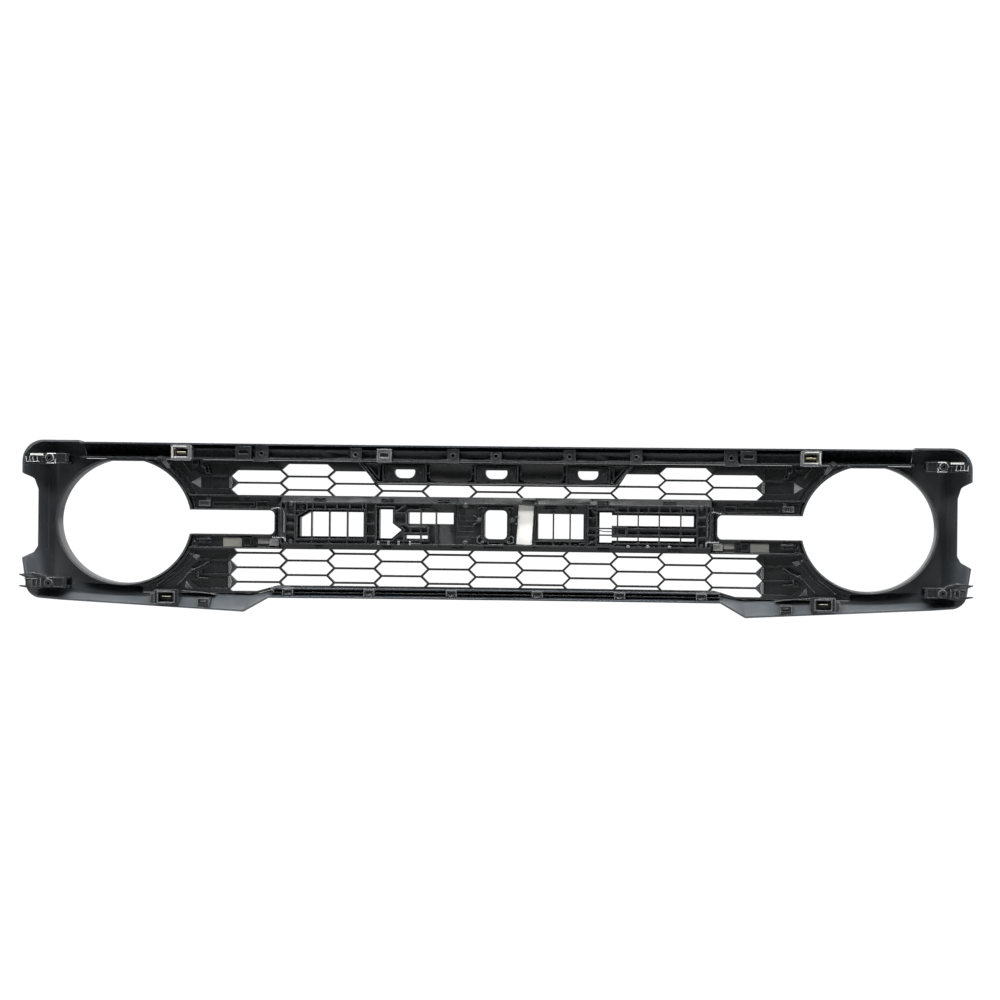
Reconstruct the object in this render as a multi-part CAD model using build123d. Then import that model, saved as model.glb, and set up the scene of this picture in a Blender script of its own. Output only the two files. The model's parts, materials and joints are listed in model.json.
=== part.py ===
from build123d import *
import math
import os

# Front grille of a light truck with two round headlamp openings. Millimetres.
# +X is the vehicle's left, -Y its front and +Z up. The origin is the middle of the
# rectangle of the four corner fixing holes, in the plane of their bosses' rear faces.
# Depth means distance behind the swept front face, measured along +Y.

# Plan shape of the front face: an arc about the middle, then straight tangents.
FRONT_Y = -135.0
SWEEP_RADIUS = 4000.0
TANGENT_X = 420.0
SPAN = 830.0
REACH = 170.0

# Headlamp openings and the lamp slots that run inwards from them.
LAMP_X = 602.6
LAMP_HALF_WIDTH = 107.1
LAMP_HALF_HEIGHT = 101.5
LAMP_TOP_FLAT = 98.0
RING_WALL = 3.5
RING_GAP = 1.2
RING_DEPTH = 40.0
RING_LIP = 7.0
LIP_DEPTH = 2.5
SLOT_INNER_X = 361.0
SLOT_HALF_HEIGHT = 19.5
SLOT_CORNER = 8.0

# Surround skin: corner points of its outline at three depths, clockwise from top inner.
SKIN = 3.0
SKIN_DEPTHS = (0.0, 28.0, 62.0)
FRONT_OUTLINE = (
    (330, 107), (729, 107), (729, -45), (725, -100),
    (690, -104.5), (403, -118), (371, -112.5), (330, -112.5),
)
MIDDLE_OUTLINE = (
    (330, 129.5), (744, 129.5), (744, -50), (739, -113),
    (700, -119), (402, -127), (371, -120.3), (330, -120.3),
)
REAR_OUTLINE = (
    (330, 130.5), (763, 130.5), (763, -55), (753, -124),
    (700, -128.5), (406, -145.5), (366, -122.5), (330, -122.5),
)
FRONT_RADII = (4, 18, 30, 20, 30, 20, 20, 4)
REAR_RADII = (4, 34, 30, 26, 30, 6, 6, 4)
CAVITY_DEPTH = 110.0

# Concave cove between the surround's front wall and its side wall.
COVE_INNER_X = 715.0
COVE_OUTER_X = 730.5
COVE_DEPTH = 11.0
COVE_SAG = 2.2
COVE_LIMIT_X = 745.0

# Notch in the outer edge of each side wall, as corner points and their radii.
NOTCH = (
    (800, 78), (764, 77.5), (748, 68), (743.3, 50), (743.3, -42), (748, -52), (764, -62), (800, -62),
)
NOTCH_RADII = (2, 3, 8, 10, 8, 5, 3, 2)

# Rails.
TOP_RAIL_HALF = 672.0
TOP_FLANGE_Z = (101.8, 104.3)
TOP_RIB_Z = (117.4, 119.8)
TOP_RIB_HALF = 522.0
TOP_WEB_DEPTHS = (26.0, 28.5)
WEB_HOLE = 4.0
TOP_RAIL_REAR = 46.0
BOTTOM_RAIL_HALF = 366.0
BOTTOM_FLANGE_Z = (-109.0, -106.5)
BOTTOM_RAIL_REAR = 44.0
JOINT_GAP = 0.15

# Mesh inserts: hexagon cells in columns, numbered outwards from the middle one.
MESH_FRONT = 8.0
MESH_REAR = 20.0
CELL_PITCH_X = 77.4
CELL_HALF_FLAT = 32.0
CELL_HALF_TIP = 42.2
OUTER_CELL_EXTRA = 5.1
OUTER_COLUMN = 5
MESH_BAR = 3.4
UPPER_PITCH_Z = 22.0
UPPER_CELL_Z = 64.5
LOWER_PITCH_Z = 23.8
LOWER_CELL_Z = -50.5
MESH_END_X = 437.0
WINDOW_HALF = 437.0
# Blind cells in the solid ends: where their flat edges stop and where their tips are.
BLIND_SHOULDER_X = 483.0
BLIND_TIP_X = 498.0
BLIND_FLOOR = 11.0
BLIND_BORDER = 2.6
LAMP_FLANGE = 4.0
LAMP_FLANGE_REAR = 34.0
BEAD_MARGINS = (14.0, 16.0)
BEAD_REAR = 25.0

# Centre bar.
BAR_TOP = 44.5
BAR_BOTTOM = -43.5
CARRIER_HALF = 351.0
CARRIER_FRONT = 24.0
CARRIER_PLATE_REAR = 27.0
CARRIER_RIB_REAR = 42.0
CARRIER_LEVELS = (-35.0, 34.5)
LEDGE_REAR = 31.0
RIB = 2.0
SLAT = 2.4
SLAT_REAR = 40.0
TUNNEL = 1.6
FRAME_GAP = 3.4
# Vents as outline corners (X, Z). The first three have a rib frame round them.
FRAMED_VENTS = (
    ((217.3, 18), (304, 18), (320.6, 8.4), (320.6, -22), (217.3, -22)),
    ((169.5, 23), (191, 23), (191, -24.2), (171, -24.2), (155, -10.3), (169.5, 0.5)),
    (
        (-169.5, 21.8), (-169.5, -27), (-189.5, -27), (-189.5, -23.8), (-324, -23.8), (-324, -18.8),
        (-189.5, -18.8), (-189.5, 0.5), (-323, 0.5), (-323, 17.6), (-189.5, 17.6), (-189.5, 21.8),
    ),
)
PLAIN_VENTS = (
    ((69.5, 18.6), (143.4, 18.6), (143.4, 0.2), (69.5, 0.2)),
    ((110.6, -19), (147.5, -19), (147.5, -24.3), (110.6, -24.3)),
    ((-143.3, 18.5), (-68.9, 18.5), (-68.9, -22), (-143.3, -22)),
)
# Ladders beside the vents: side walls at low and high X, and rungs at these levels.
LADDERS = (
    (327.0, 342.5, (12.5, -1.7, -16.6)),
    (196.0, 211.5, (18.0, -0.3, -20.6)),
    (-165.0, -150.5, (12.7,)),
    (-343.5, -328.5, (14.8, 0.6, -17.0)),
)
# Straight ribs on the carrier, as runs of points in X and Z.
RIB_RUNS = (
    ((166.5, 17.8), (146.5, 30.0)),
    ((166.5, 17.8), (146.5, 17.8)),
    ((158.0, -1.4), (146.5, -1.4)),
    ((122.0, 23.2), (141.5, 23.2), (146.2, 18.6), (146.2, -1.7), (142.0, -5.2), (110.0, -5.2)),
    ((110.0, -5.2), (110.0, -27.3), (160.0, -27.3)),
    ((150.0, -15.2), (110.0, -15.2)),
    ((150.0, -7.8), (150.0, -35.0)),
    ((138.5, -5.2), (138.5, -15.2)),
    ((328.0, 34.0), (328.0, 18.0), (311.5, 18.0)),
    ((-150.5, 28.5), (-199.0, 28.5)),
    ((-157.0, 26.0), (-166.5, 18.0)),
    ((-306.0, 34.5), (-306.0, 21.5)),
    ((-328.0, 31.3), (-306.0, 31.3)),
    ((-152.8, -29.5), (-170.5, -18.7)),
    ((-196.0, 0.0), (-214.7, 0.0), (-214.7, -18.0), (-196.0, -18.0)),
    ((351.0, 25.2), (346.5, 22.2), (342.5, 15.5), (342.5, -24.0), (351.0, -24.0)),
    ((-351.0, 25.2), (-347.0, 22.2), (-344.0, 15.5), (-344.0, -24.0), (-351.0, -24.0)),
)
# Short ribs between the vents' frames and the carrier's top wall.
SHORT_RIBS = (298.0, 278.0, 259.0, 238.0, 217.0, -215.5, -249.5, -284.5)
# Slats across the vents: place, low Z and high Z.
SLATS = (
    (300.2, -35.0, 22.0), (271.2, -35.0, 22.0), (242.0, -35.0, 22.0),
    (122.0, -35.0, 23.0), (97.0, -34.0, 20.0),
    (-94.5, -35.0, 20.0), (-121.8, -35.0, 20.0),
    (-199.0, -35.0, 34.5), (-232.7, -35.0, 34.5), (-266.8, -35.0, 34.5), (-301.7, -35.0, 34.5),
)
# Two thin bars across the tall end of the right-hand vent.
CROSS_BARS = (-4.0, -14.8)
CROSS_BAR_X = (-196.0, -150.5)
SLOT_END_STEP = (342.5, 351.0, -24.0, 23.0)
SLOT_END_REAR = 36.0
# Places along X where the cover and the carrier are parted into sections.
COVER_JOINTS = (-346.0, -154.0, -64.0, 60.0, 149.0, 204.0, 346.0)
CARRIER_JOINTS = (-154.0, -64.0, 60.0, 204.0)
CARRIER_SCREWS = ((-335, 31), (335, 31), (-335, -31), (335, -31), (50, 31), (50, -31))

# Screws that hold the headlamp rings to the upper mesh insert.
RING_SCREW = (535.0, 95.0)
RING_SCREW_BOSS = 6.0
RING_SCREW_DEPTH = 26.0

# Camera opening.
CAMERA_WIDTH = 36.5
CAMERA_HEIGHT = 47.0
CAMERA_CORNER = 7.0
CAMERA_SCREW_X = 27.3
CAMERA_SCREW_Z = 7.5
CAMERA_HOLE = 1.5

# Bridge panel.
BRIDGE_TOP = 101.3
BRIDGE_BOTTOM = 66.0
BRIDGE_TOP_HALF = 223.0
BRIDGE_BOTTOM_HALF = 196.0
SENSOR_SLOTS = ((-150.0, 33.0), (0.0, 35.5), (150.0, 33.0))

# Fixings on the top rail.
NUT_Z = 112.0
NUT_HOLE = 2.75
NUT_THICKNESS = 4.0
NUT_COLLAR = 5.0
NUT_OUTER_X = 381.5
NUT_MIDDLE_X = 228.6
NUT_INNER_X = (70.0, -120.0)

# Corner fixings.
CORNER_X = 716.0
CORNER_Z = 101.0
CORNER_HOLE = 2.4
CORNER_BOSS = 6.0
BRACKET_X = (689.0, 740.0)
BRACKET_Y = (-62.0, -12.0)
BRACKET_Z = (91.5, 108.5)
BRACKET_WALL = 3.0
EAR_END_X = 757.0
EAR_REAR_Y = -5.0
EAR_POCKETS = ((733.0, 741.0), (745.0, 752.0))
EAR_POCKET_HALF = 4.0
# Locating prongs of the lower brackets: root and tip heights.
PRONG_X = (742.0, 764.5)
PRONG_LEVELS = ((-94.5, -87.5), (-108.5, -106.0))
PRONG_HALF_ROOT = 2.5
PRONG_HALF_TIP = 0.9
PRONG_Y = (-11.0, -6.0)

# Spring clips: centre places and outside sizes (X, Z) of their housings.
UPPER_CLIP = (508.3, 112.0, 33.0, 25.0)
LOWER_CLIP = (530.0, -122.5, 40.0, 25.0)
CLIP_FRONT = 38.0
CLIP_REAR = 68.0
POCKET_DEPTH = 21.0
POCKET_WIDTH = 24.0
POCKET_HALF_HEIGHT = 7.5
LEAF_WIDTH = 15.0
LEAF_THICKNESS = 0.9

# Plain clips as place (X, Z) and outside size (X, Z).
TOP_CLIP = (409.0, 113.4, 25.0, 20.0)
U_CLIP = (181.0, 110.5, 23.5, 22.0)
CHIN_CLIP = (471.0, -131.0, 21.0, 16.0)
RAIL_CLIP_PLACES = (70.0, 204.0, 336.0)
RAIL_CLIP_Z = -113.0
RAIL_CLIP_SIZE = (18.0, 12.0)

# Pads as low X, high X, low Z and high Z, and the blank label.
FOAM_PAD = (414.5, 444.5, -40.0, -25.5)
LIGHT_PAD = (354.5, 370.0, -38.5, -26.5)
PAD_REARS = (30.0, 29.0)
LABEL_X = -48.0
LABEL_SIZE = (25.0, 64.0)
LABEL_TILT = 3.0
LABEL_THICKNESS = 0.4


def sweep_back(x):
    """How far the front face has swept back, along +Y, at a distance x from the middle."""
    run = math.sqrt(SWEEP_RADIUS**2 - TANGENT_X**2)
    if abs(x) <= TANGENT_X:
        return SWEEP_RADIUS - math.sqrt(SWEEP_RADIUS**2 - x**2)
    return SWEEP_RADIUS - run + (abs(x) - TANGENT_X) * TANGENT_X / run


def y_at(x, depth):
    """The Y of a point at this depth behind the front face."""
    return FRONT_Y + sweep_back(x) + depth


def layer(front, rear):
    """Everything between two depths, following the plan shape of the front face."""
    edges = []
    for depth in (front, rear):
        ends = [(x, y_at(x, depth)) for x in (-SPAN, -TANGENT_X, 0, TANGENT_X, SPAN)]
        edges.append(Line(ends[0], ends[1]))
        edges.append(ThreePointArc(ends[1], ends[2], ends[3]))
        edges.append(Line(ends[3], ends[4]))
    for x in (-SPAN, SPAN):
        edges.append(Line((x, y_at(x, front)), (x, y_at(x, rear))))
    return extrude(make_face(edges), amount=REACH, both=True)


def prism(sketch):
    """A sketch drawn in X and Z, carried right through the grille along Y."""
    return extrude(Plane.XZ * sketch, amount=REACH, both=True)


def slab(sketch, front, rear):
    """A sketch drawn in X and Z, as a swept plate between two depths."""
    return prism(sketch) & layer(front, rear)


def area(x_low, x_high, z_low, z_high):
    """A rectangle in X and Z."""
    middle = Pos((x_low + x_high) / 2, (z_low + z_high) / 2)
    return middle * Rectangle(abs(x_high - x_low), abs(z_high - z_low))


def outline(*points):
    """A straight-sided sketch through points in X and Z."""
    return Polygon(*points, align=None)


def block(x_low, x_high, y_low, y_high, z_low, z_high):
    """A box from its low and high corners."""
    size = (x_high - x_low, y_high - y_low, z_high - z_low)
    middle = Pos((x_low + x_high) / 2, (y_low + y_high) / 2, (z_low + z_high) / 2)
    return middle * Box(*size)


def rod(x, z, radius, y_low, y_high):
    """A cylinder along Y."""
    turn = Pos(x, (y_low + y_high) / 2, z) * Rot(90, 0, 0)
    return turn * Cylinder(radius, y_high - y_low)


def flip(shape):
    """The same piece on the other side of the vehicle."""
    return mirror(shape, about=Plane.YZ)


def largest(shape):
    """The main solid of a cut piece, without the chips cut loose from it."""
    return shape.solids().sort_by(SortBy.VOLUME)[-1]


def lamp(margin, top=None):
    """The headlamp opening's shape on the +X side, grown by a margin, with its flat top."""
    oval = Ellipse(LAMP_HALF_WIDTH + margin, LAMP_HALF_HEIGHT + margin)
    limit = LAMP_TOP_FLAT + margin if top is None else top
    return Pos(LAMP_X, 0) * oval & area(LAMP_X - 130, LAMP_X + 130, -130, limit)


def lamp_slot(margin):
    """The slot that runs inwards from a headlamp opening, with rounded inner corners."""
    width = LAMP_X - SLOT_INNER_X + margin
    height = 2 * (SLOT_HALF_HEIGHT + margin)
    corner = SLOT_CORNER + margin
    middle = SLOT_INNER_X - margin + (width + corner) / 2
    return Pos(middle, 0) * RectangleRounded(width + corner, height, corner)


def inset(points, gap):
    """The corner points of a clockwise outline moved inwards by a gap."""
    moved = []
    for index, point in enumerate(points):
        before = Vector(*points[index - 1])
        here = Vector(*point)
        after = Vector(*points[(index + 1) % len(points)])
        arriving = (here - before).normalized()
        leaving = (after - here).normalized()
        normal_in = Vector(arriving.Y, -arriving.X)
        normal_out = Vector(leaving.Y, -leaving.X)
        step = (normal_in + normal_out) * (gap / (1 + normal_in.dot(normal_out)))
        moved.append((here.X + step.X, here.Y + step.Y))
    return moved


def skin_section(points, radii, depth):
    """A surround outline with rounded corners, standing at a depth on the swept tangent."""
    slope = sweep_back(SPAN) - sweep_back(SPAN - 1)
    base = y_at(LAMP_X, depth) - slope * LAMP_X
    corners = [(x, base + slope * x, z) for x, z in points]
    return Face(Wire(FilletPolyline(*corners, radius=list(radii), close=True).edges()))


def skin_loft(gap, rear_extension):
    """The space inside the surround's outline, moved inwards by a gap."""
    outlines = (FRONT_OUTLINE, MIDDLE_OUTLINE, REAR_OUTLINE)
    radius_sets = (FRONT_RADII, FRONT_RADII, REAR_RADII)
    sections = []
    for points, radii, depth in zip(outlines, radius_sets, SKIN_DEPTHS):
        start = max(depth, gap)
        sections.append(skin_section(inset(points, gap), radii, start))
    if rear_extension:
        sections.append(skin_section(inset(REAR_OUTLINE, gap), REAR_RADII, CAVITY_DEPTH))
    return loft(sections, ruled=True)


def cove(solid_skin):
    """The concave strip that joins the front wall to the side wall inside the surround."""
    start = Vector(COVE_INNER_X, y_at(COVE_INNER_X, SKIN))
    end = Vector(COVE_OUTER_X, y_at(COVE_OUTER_X, COVE_DEPTH))
    corner = Vector(COVE_LIMIT_X, y_at(COVE_LIMIT_X, SKIN / 2))
    across = (end - start).normalized()
    middle = (start + end) * 0.5 + Vector(across.Y, -across.X) * COVE_SAG
    edges = [
        ThreePointArc(start, middle, end),
        Line(end, Vector(COVE_LIMIT_X, end.Y)),
        Line(Vector(COVE_LIMIT_X, end.Y), corner),
        Line(corner, start),
    ]
    return extrude(make_face(edges), amount=REACH, both=True) & solid_skin


def end_shell(cavity):
    """One outer end of the surround: skin, slanted walls, cove, notch and chin lobe."""
    solid_skin = skin_loft(0, False)
    shell = solid_skin - cavity + cove(solid_skin)
    kept = outline(
        (TOP_RAIL_HALF + JOINT_GAP, 140), (800, 140), (800, -160),
        (BOTTOM_RAIL_HALF + JOINT_GAP, -160), (BOTTOM_RAIL_HALF + JOINT_GAP, -110.5),
        (388, -116.6), (575, -116.6), (575, 101.3), (TOP_RAIL_HALF + JOINT_GAP, 101.3),
    )
    shell = shell & prism(kept)
    shell -= prism(lamp(RING_WALL + RING_GAP))
    notch = FilletPolyline(*NOTCH, radius=list(NOTCH_RADII), close=True)
    return largest(shell - prism(make_face(notch)))


def lamp_ring():
    """The collar of one headlamp opening, with a thin bezel lip in front of the skin."""
    wall = slab(lamp(RING_WALL) - lamp(0), 0, RING_DEPTH)
    lip = slab(lamp(RING_LIP, top=LAMP_TOP_FLAT + RING_WALL) - lamp(0), -LIP_DEPTH, 0)
    bead = slab(lamp(RING_WALL) - lamp(1.6), RING_DEPTH, RING_DEPTH + 2)
    return wall + lip + bead - prism(lamp_slot(0))


def swept_rail(sections, half_length):
    """A rail whose sections, drawn in depth and Z, follow the front face's plan shape."""
    middle = (0, FRONT_Y)
    halfway = (TANGENT_X / 2, y_at(TANGENT_X / 2, 0))
    tangent = (TANGENT_X, y_at(TANGENT_X, 0))
    far = (SPAN, y_at(SPAN, 0))
    path = Wire([ThreePointArc(middle, halfway, tangent), Line(tangent, far)])
    limit = block(-half_length, half_length, -REACH, REACH, -REACH, REACH)
    rail = Part()
    for section in sections:
        points = [(FRONT_Y + depth, z) for depth, z in section]
        bar = sweep(Plane.YZ * Polygon(*points, align=None), path=path)
        rail += bar & limit
    return rail + flip(rail)


def top_rail():
    """The channel across the top: slanted skin, lower flange, middle rib and its web."""
    skin = (
        (0, 101.8), (3, 101.8), (3, 109), (27, 125.2), (62, 125.2), (62, 128), (26, 128), (0, 107),
    )
    low, high = TOP_FLANGE_Z
    flange = ((2, low), (TOP_RAIL_REAR, low), (TOP_RAIL_REAR, high), (2, high))
    low, high = TOP_RIB_Z
    rib = ((12, low), (TOP_RAIL_REAR, low), (TOP_RAIL_REAR, high), (14, high))
    front, rear = TOP_WEB_DEPTHS
    web = ((front, TOP_FLANGE_Z[1]), (rear, TOP_FLANGE_Z[1]), (rear, low), (front, low))
    rail = swept_rail((skin, flange), TOP_RAIL_HALF) + swept_rail((rib, web), TOP_RIB_HALF)
    for x in (-NUT_OUTER_X, -NUT_MIDDLE_X, *NUT_INNER_X, 0, NUT_MIDDLE_X, NUT_OUTER_X):
        rail -= rod(x, NUT_Z, WEB_HOLE, y_at(x, front - 2), y_at(x, rear + 2))
    return rail


def bottom_rail():
    """The narrow channel across the bottom between the chin lobes."""
    skin = (
        (0, -106.5), (3, -106.5), (3, -110.5), (28, -117.5),
        (62, -119.7), (62, -122.5), (28, -120.3), (0, -112.5),
    )
    low, high = BOTTOM_FLANGE_Z
    flange = ((2, low), (BOTTOM_RAIL_REAR, low), (BOTTOM_RAIL_REAR, high), (2, high))
    rib = ((12, -115.2), (38, -115.2), (38, -113.4), (12, -113.4))
    return swept_rail((skin, flange, rib), BOTTOM_RAIL_HALF)


def hexagon(column, centre_z, pitch_z):
    """One mesh cell; the outermost columns reach a little further outwards."""
    middle = column * CELL_PITCH_X
    half_height = (pitch_z - MESH_BAR) / 2
    extra_right = OUTER_CELL_EXTRA if column == OUTER_COLUMN else 0
    extra_left = OUTER_CELL_EXTRA if column == -OUTER_COLUMN else 0
    return outline(
        (middle - CELL_HALF_TIP - extra_left, centre_z),
        (middle - CELL_HALF_FLAT - extra_left, centre_z + half_height),
        (middle + CELL_HALF_FLAT + extra_right, centre_z + half_height),
        (middle + CELL_HALF_TIP + extra_right, centre_z),
        (middle + CELL_HALF_FLAT + extra_right, centre_z - half_height),
        (middle - CELL_HALF_FLAT - extra_left, centre_z - half_height),
    )


def mesh_cells(first_z, pitch_z, even_rows, odd_rows, window):
    """All cells of one insert, clipped to the window that the insert leaves open."""
    cells = Sketch()
    for column in range(-OUTER_COLUMN, OUTER_COLUMN + 1):
        odd = column % 2
        rows = odd_rows if odd else even_rows
        for row in rows:
            centre_z = first_z + (row + odd / 2) * pitch_z
            cells += hexagon(column, centre_z, pitch_z) & window
    return cells


def symmetric_outline(*right_points):
    """A sketch symmetric about the middle, from the points of its +X half, top to bottom."""
    left_points = [(-x, z) for x, z in reversed(right_points)]
    return outline(*right_points, *left_points)


def both_sides(sketch):
    """A sketch together with its mirror image about the middle."""
    return sketch + mirror(sketch, about=Plane.YZ)


def bridge_area(margin):
    """The bridge panel's tapering outline, grown by a margin."""
    return symmetric_outline(
        (BRIDGE_TOP_HALF + margin, BRIDGE_TOP + margin),
        (BRIDGE_BOTTOM_HALF + margin, BRIDGE_BOTTOM - margin),
    )


def blind_cells(levels, pitch_z):
    """The sunk cells in the solid end on the +X side, in line with the open ones."""
    half_height = (pitch_z - BLIND_BORDER) / 2
    cells = Sketch()
    for level in levels:
        cells += outline(
            (MESH_END_X, level + half_height), (BLIND_SHOULDER_X, level + half_height),
            (BLIND_TIP_X, level), (BLIND_SHOULDER_X, level - half_height),
            (MESH_END_X, level - half_height),
        )
    return cells


def mesh_insert(border, cells, blind, rear_z):
    """A mesh insert: cells, solid ends with blind cells, and a flange along each lamp."""
    around_lamps = both_sides(lamp(RING_WALL + RING_GAP))
    behind = border & area(-600, 600, *rear_z)
    flange_face = both_sides(lamp(RING_WALL + RING_GAP + LAMP_FLANGE)) & behind
    bead_face = both_sides(lamp(BEAD_MARGINS[1]) - lamp(BEAD_MARGINS[0])) & behind
    body = slab(border - around_lamps - cells, MESH_FRONT, MESH_REAR)
    body -= slab(both_sides(blind - lamp(BEAD_MARGINS[1])), BLIND_FLOOR, MESH_REAR + 5)
    body += slab(flange_face - around_lamps, MESH_REAR, LAMP_FLANGE_REAR)
    body += slab(bead_face, MESH_REAR, BEAD_REAR)
    return body


def upper_mesh():
    """The insert above the centre bar."""
    border = symmetric_outline((575, 101.3), (575, 36.5)) - bridge_area(0.3)
    window = area(-WINDOW_HALF, WINDOW_HALF, BAR_TOP, 97) - bridge_area(2.8)
    cells = mesh_cells(UPPER_CELL_Z, UPPER_PITCH_Z, (-1, 0, 1), (-1, 0), window)
    levels = [UPPER_CELL_Z + row * UPPER_PITCH_Z for row in (0, 1)]
    blind = blind_cells(levels, UPPER_PITCH_Z) & area(0, 600, BAR_TOP + 2.5, 98)
    mesh = mesh_insert(border, cells, blind, (BAR_TOP + 0.5, 102))
    rear = y_at(RING_SCREW[0], RING_SCREW_DEPTH)
    for x in (RING_SCREW[0], -RING_SCREW[0]):
        mesh += rod(x, RING_SCREW[1], RING_SCREW_BOSS, rear - 17, rear)
        mesh -= rod(x, RING_SCREW[1], 2, rear - 12, rear + 1)
    return largest(mesh)


def lower_mesh(shells):
    """The insert below the centre bar, deeper at its ends than in the middle."""
    border = symmetric_outline(
        (575, -36.5), (575, -116.2), (388, -116.2), (366.3, -110.2), (366.3, -106.2)
    )
    window = symmetric_outline(
        (WINDOW_HALF, BAR_BOTTOM), (WINDOW_HALF, -112.9), (391, -112.9), (357, -103.2)
    )
    cells = mesh_cells(LOWER_CELL_Z, LOWER_PITCH_Z, (-2, -1, 0), (-3, -2, -1, 0), window)
    levels = [LOWER_CELL_Z + row * LOWER_PITCH_Z for row in (-2, -1, 0)]
    blind = blind_cells(levels, LOWER_PITCH_Z) & area(0, 600, -112, BAR_BOTTOM - 2.5)
    mesh = mesh_insert(border, cells, blind, (-120, BAR_BOTTOM - 0.5))
    return largest(mesh - shells)


def bar_area(half_length, margin):
    """The centre bar's outline on both sides of the middle, cut round at the lamps."""
    face = area(-half_length, half_length, BAR_BOTTOM + margin, BAR_TOP - margin)
    return face - both_sides(lamp(RING_WALL + 0.5))


def vent_area(vents, margin):
    """These vents' outlines, grown by a margin."""
    shapes = [outline(*corners) for corners in vents]
    if margin:
        shapes = [offset(shape, amount=margin, kind=Kind.INTERSECTION) for shape in shapes]
    return Sketch() + shapes


def strips(runs, width):
    """Thin walls of one width along runs of points in X and Z, as a sketch."""
    return Sketch() + [trace(Polyline(*run), line_width=width) for run in runs]


def camera_area(margin):
    """The camera opening, grown by a margin."""
    width = CAMERA_WIDTH + 2 * margin
    return RectangleRounded(width, CAMERA_HEIGHT + 2 * margin, CAMERA_CORNER + margin)


def sections(bar, joints):
    """A long part of the centre bar, parted into sections by narrow joint gaps."""
    for x in joints:
        bar -= block(x - JOINT_GAP / 2, x + JOINT_GAP / 2, FRONT_Y - 5, 0, BAR_BOTTOM - 5, BAR_TOP + 5)
    return Compound(children=list(bar.solids()))


def bar_cover():
    """The centre bar's front face, with short tunnels behind its vents and camera hole."""
    slots = both_sides(lamp_slot(0))
    vents = FRAMED_VENTS + PLAIN_VENTS
    face = bar_area(510, 0) - slots - vent_area(vents, 0) - camera_area(0)
    cover = slab(face, 0, 3)
    rim = bar_area(510, 0) - bar_area(510, 2.5) - slots
    cover += slab(rim, 3, 7)
    tunnels = vent_area(vents, TUNNEL) - vent_area(vents, 0) + (camera_area(2) - camera_area(0))
    cover += slab(tunnels, 3, CARRIER_FRONT - 0.3)
    for x, z in CARRIER_SCREWS:
        post = rod(x, z, 4, y_at(x, 1.5), y_at(x, CARRIER_FRONT) - 1)
        cover += post - rod(x, z, 1.9, y_at(x, 6), y_at(x, 40))
    return cover


def slot_liner():
    """One pair of arms above and below a lamp slot, joined by the slot's end wall."""
    arms = area(CARRIER_HALF + 0.5, 510, BAR_BOTTOM, BAR_TOP)
    arms -= lamp(RING_WALL + RING_GAP) + lamp_slot(0)
    liner = slab(arms, 21, 24)
    liner += slab(lamp_slot(2.6) & arms, 3.4, 38)
    for low, high in ((BAR_TOP - 2.5, BAR_TOP), (BAR_BOTTOM, BAR_BOTTOM + 2.5)):
        liner += slab(arms & area(300, 510, low, high), 24, 36)
    liner += slab(arms & area(300, CARRIER_HALF + 3, -30, 30), 24, 40)
    return liner - prism(lamp_slot(0))


def carrier():
    """The rear carrier of the centre bar: plate, long ledges, ladders, vent frames and slats."""
    low, high = CARRIER_LEVELS
    face = area(-CARRIER_HALF, CARRIER_HALF, BAR_BOTTOM, BAR_TOP)
    middle = area(-CARRIER_HALF, CARRIER_HALF, low, high)
    holes = vent_area(FRAMED_VENTS, FRAME_GAP) + vent_area(PLAIN_VENTS, 0) + camera_area(0)
    body = slab(face - holes, CARRIER_FRONT, CARRIER_PLATE_REAR)
    body += slab(face - middle, CARRIER_PLATE_REAR, LEDGE_REAR)
    step = area(*SLOT_END_STEP)
    body += slab(both_sides(step), CARRIER_PLATE_REAR, SLOT_END_REAR)
    walls = middle - area(-CARRIER_HALF + RIB, CARRIER_HALF - RIB, low + RIB, high - RIB)
    walls += vent_area(FRAMED_VENTS, FRAME_GAP + RIB) - vent_area(FRAMED_VENTS, FRAME_GAP)
    runs = list(RIB_RUNS) + [((x, 22.0), (x, high)) for x in SHORT_RIBS]
    for inner, outer, rungs in LADDERS:
        runs += [((inner, low), (inner, high)), ((outer, low), (outer, high))]
        runs += [((inner, level), (outer, level)) for level in rungs]
    walls += strips(runs, RIB)
    body += slab(walls - holes, CARRIER_PLATE_REAR, CARRIER_RIB_REAR)
    bars = strips([((x, z_low), (x, z_high)) for x, z_low, z_high in SLATS], SLAT)
    bars += strips([((CROSS_BAR_X[0], z), (CROSS_BAR_X[1], z)) for z in CROSS_BARS], SLAT)
    body += slab(bars - camera_area(0), CARRIER_PLATE_REAR, SLAT_REAR)
    for x, z in CARRIER_SCREWS:
        seat = y_at(x, CARRIER_PLATE_REAR) + 5
        body += rod(x, z, 4.5, y_at(x, CARRIER_FRONT) + 1, seat)
        body -= rod(x, z, 2.1, seat - 20, seat + 1) + rod(x, z, 4.7, seat, seat + 20)
    return body


def camera_bezel():
    """The frame round the camera opening, with a screw ear on each side."""
    plate_y = y_at(0, CARRIER_PLATE_REAR)
    frame = prism(camera_area(5.5) - camera_area(0)) & block(-50, 50, plate_y, plate_y + 6, -50, 50)
    ears = Part()
    for side in (-1, 1):
        x = side * CAMERA_SCREW_X
        ears += rod(x, CAMERA_SCREW_Z, 5, plate_y, plate_y + 9)
    frame += ears - prism(camera_area(1))
    frame -= slab(area(-50, 50, -50, 50), CARRIER_FRONT, CARRIER_PLATE_REAR + 0.02)
    for side in (-1, 1):
        frame -= rod(side * CAMERA_SCREW_X, CAMERA_SCREW_Z, CAMERA_HOLE, plate_y - 1, plate_y + 20)
    return frame


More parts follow.
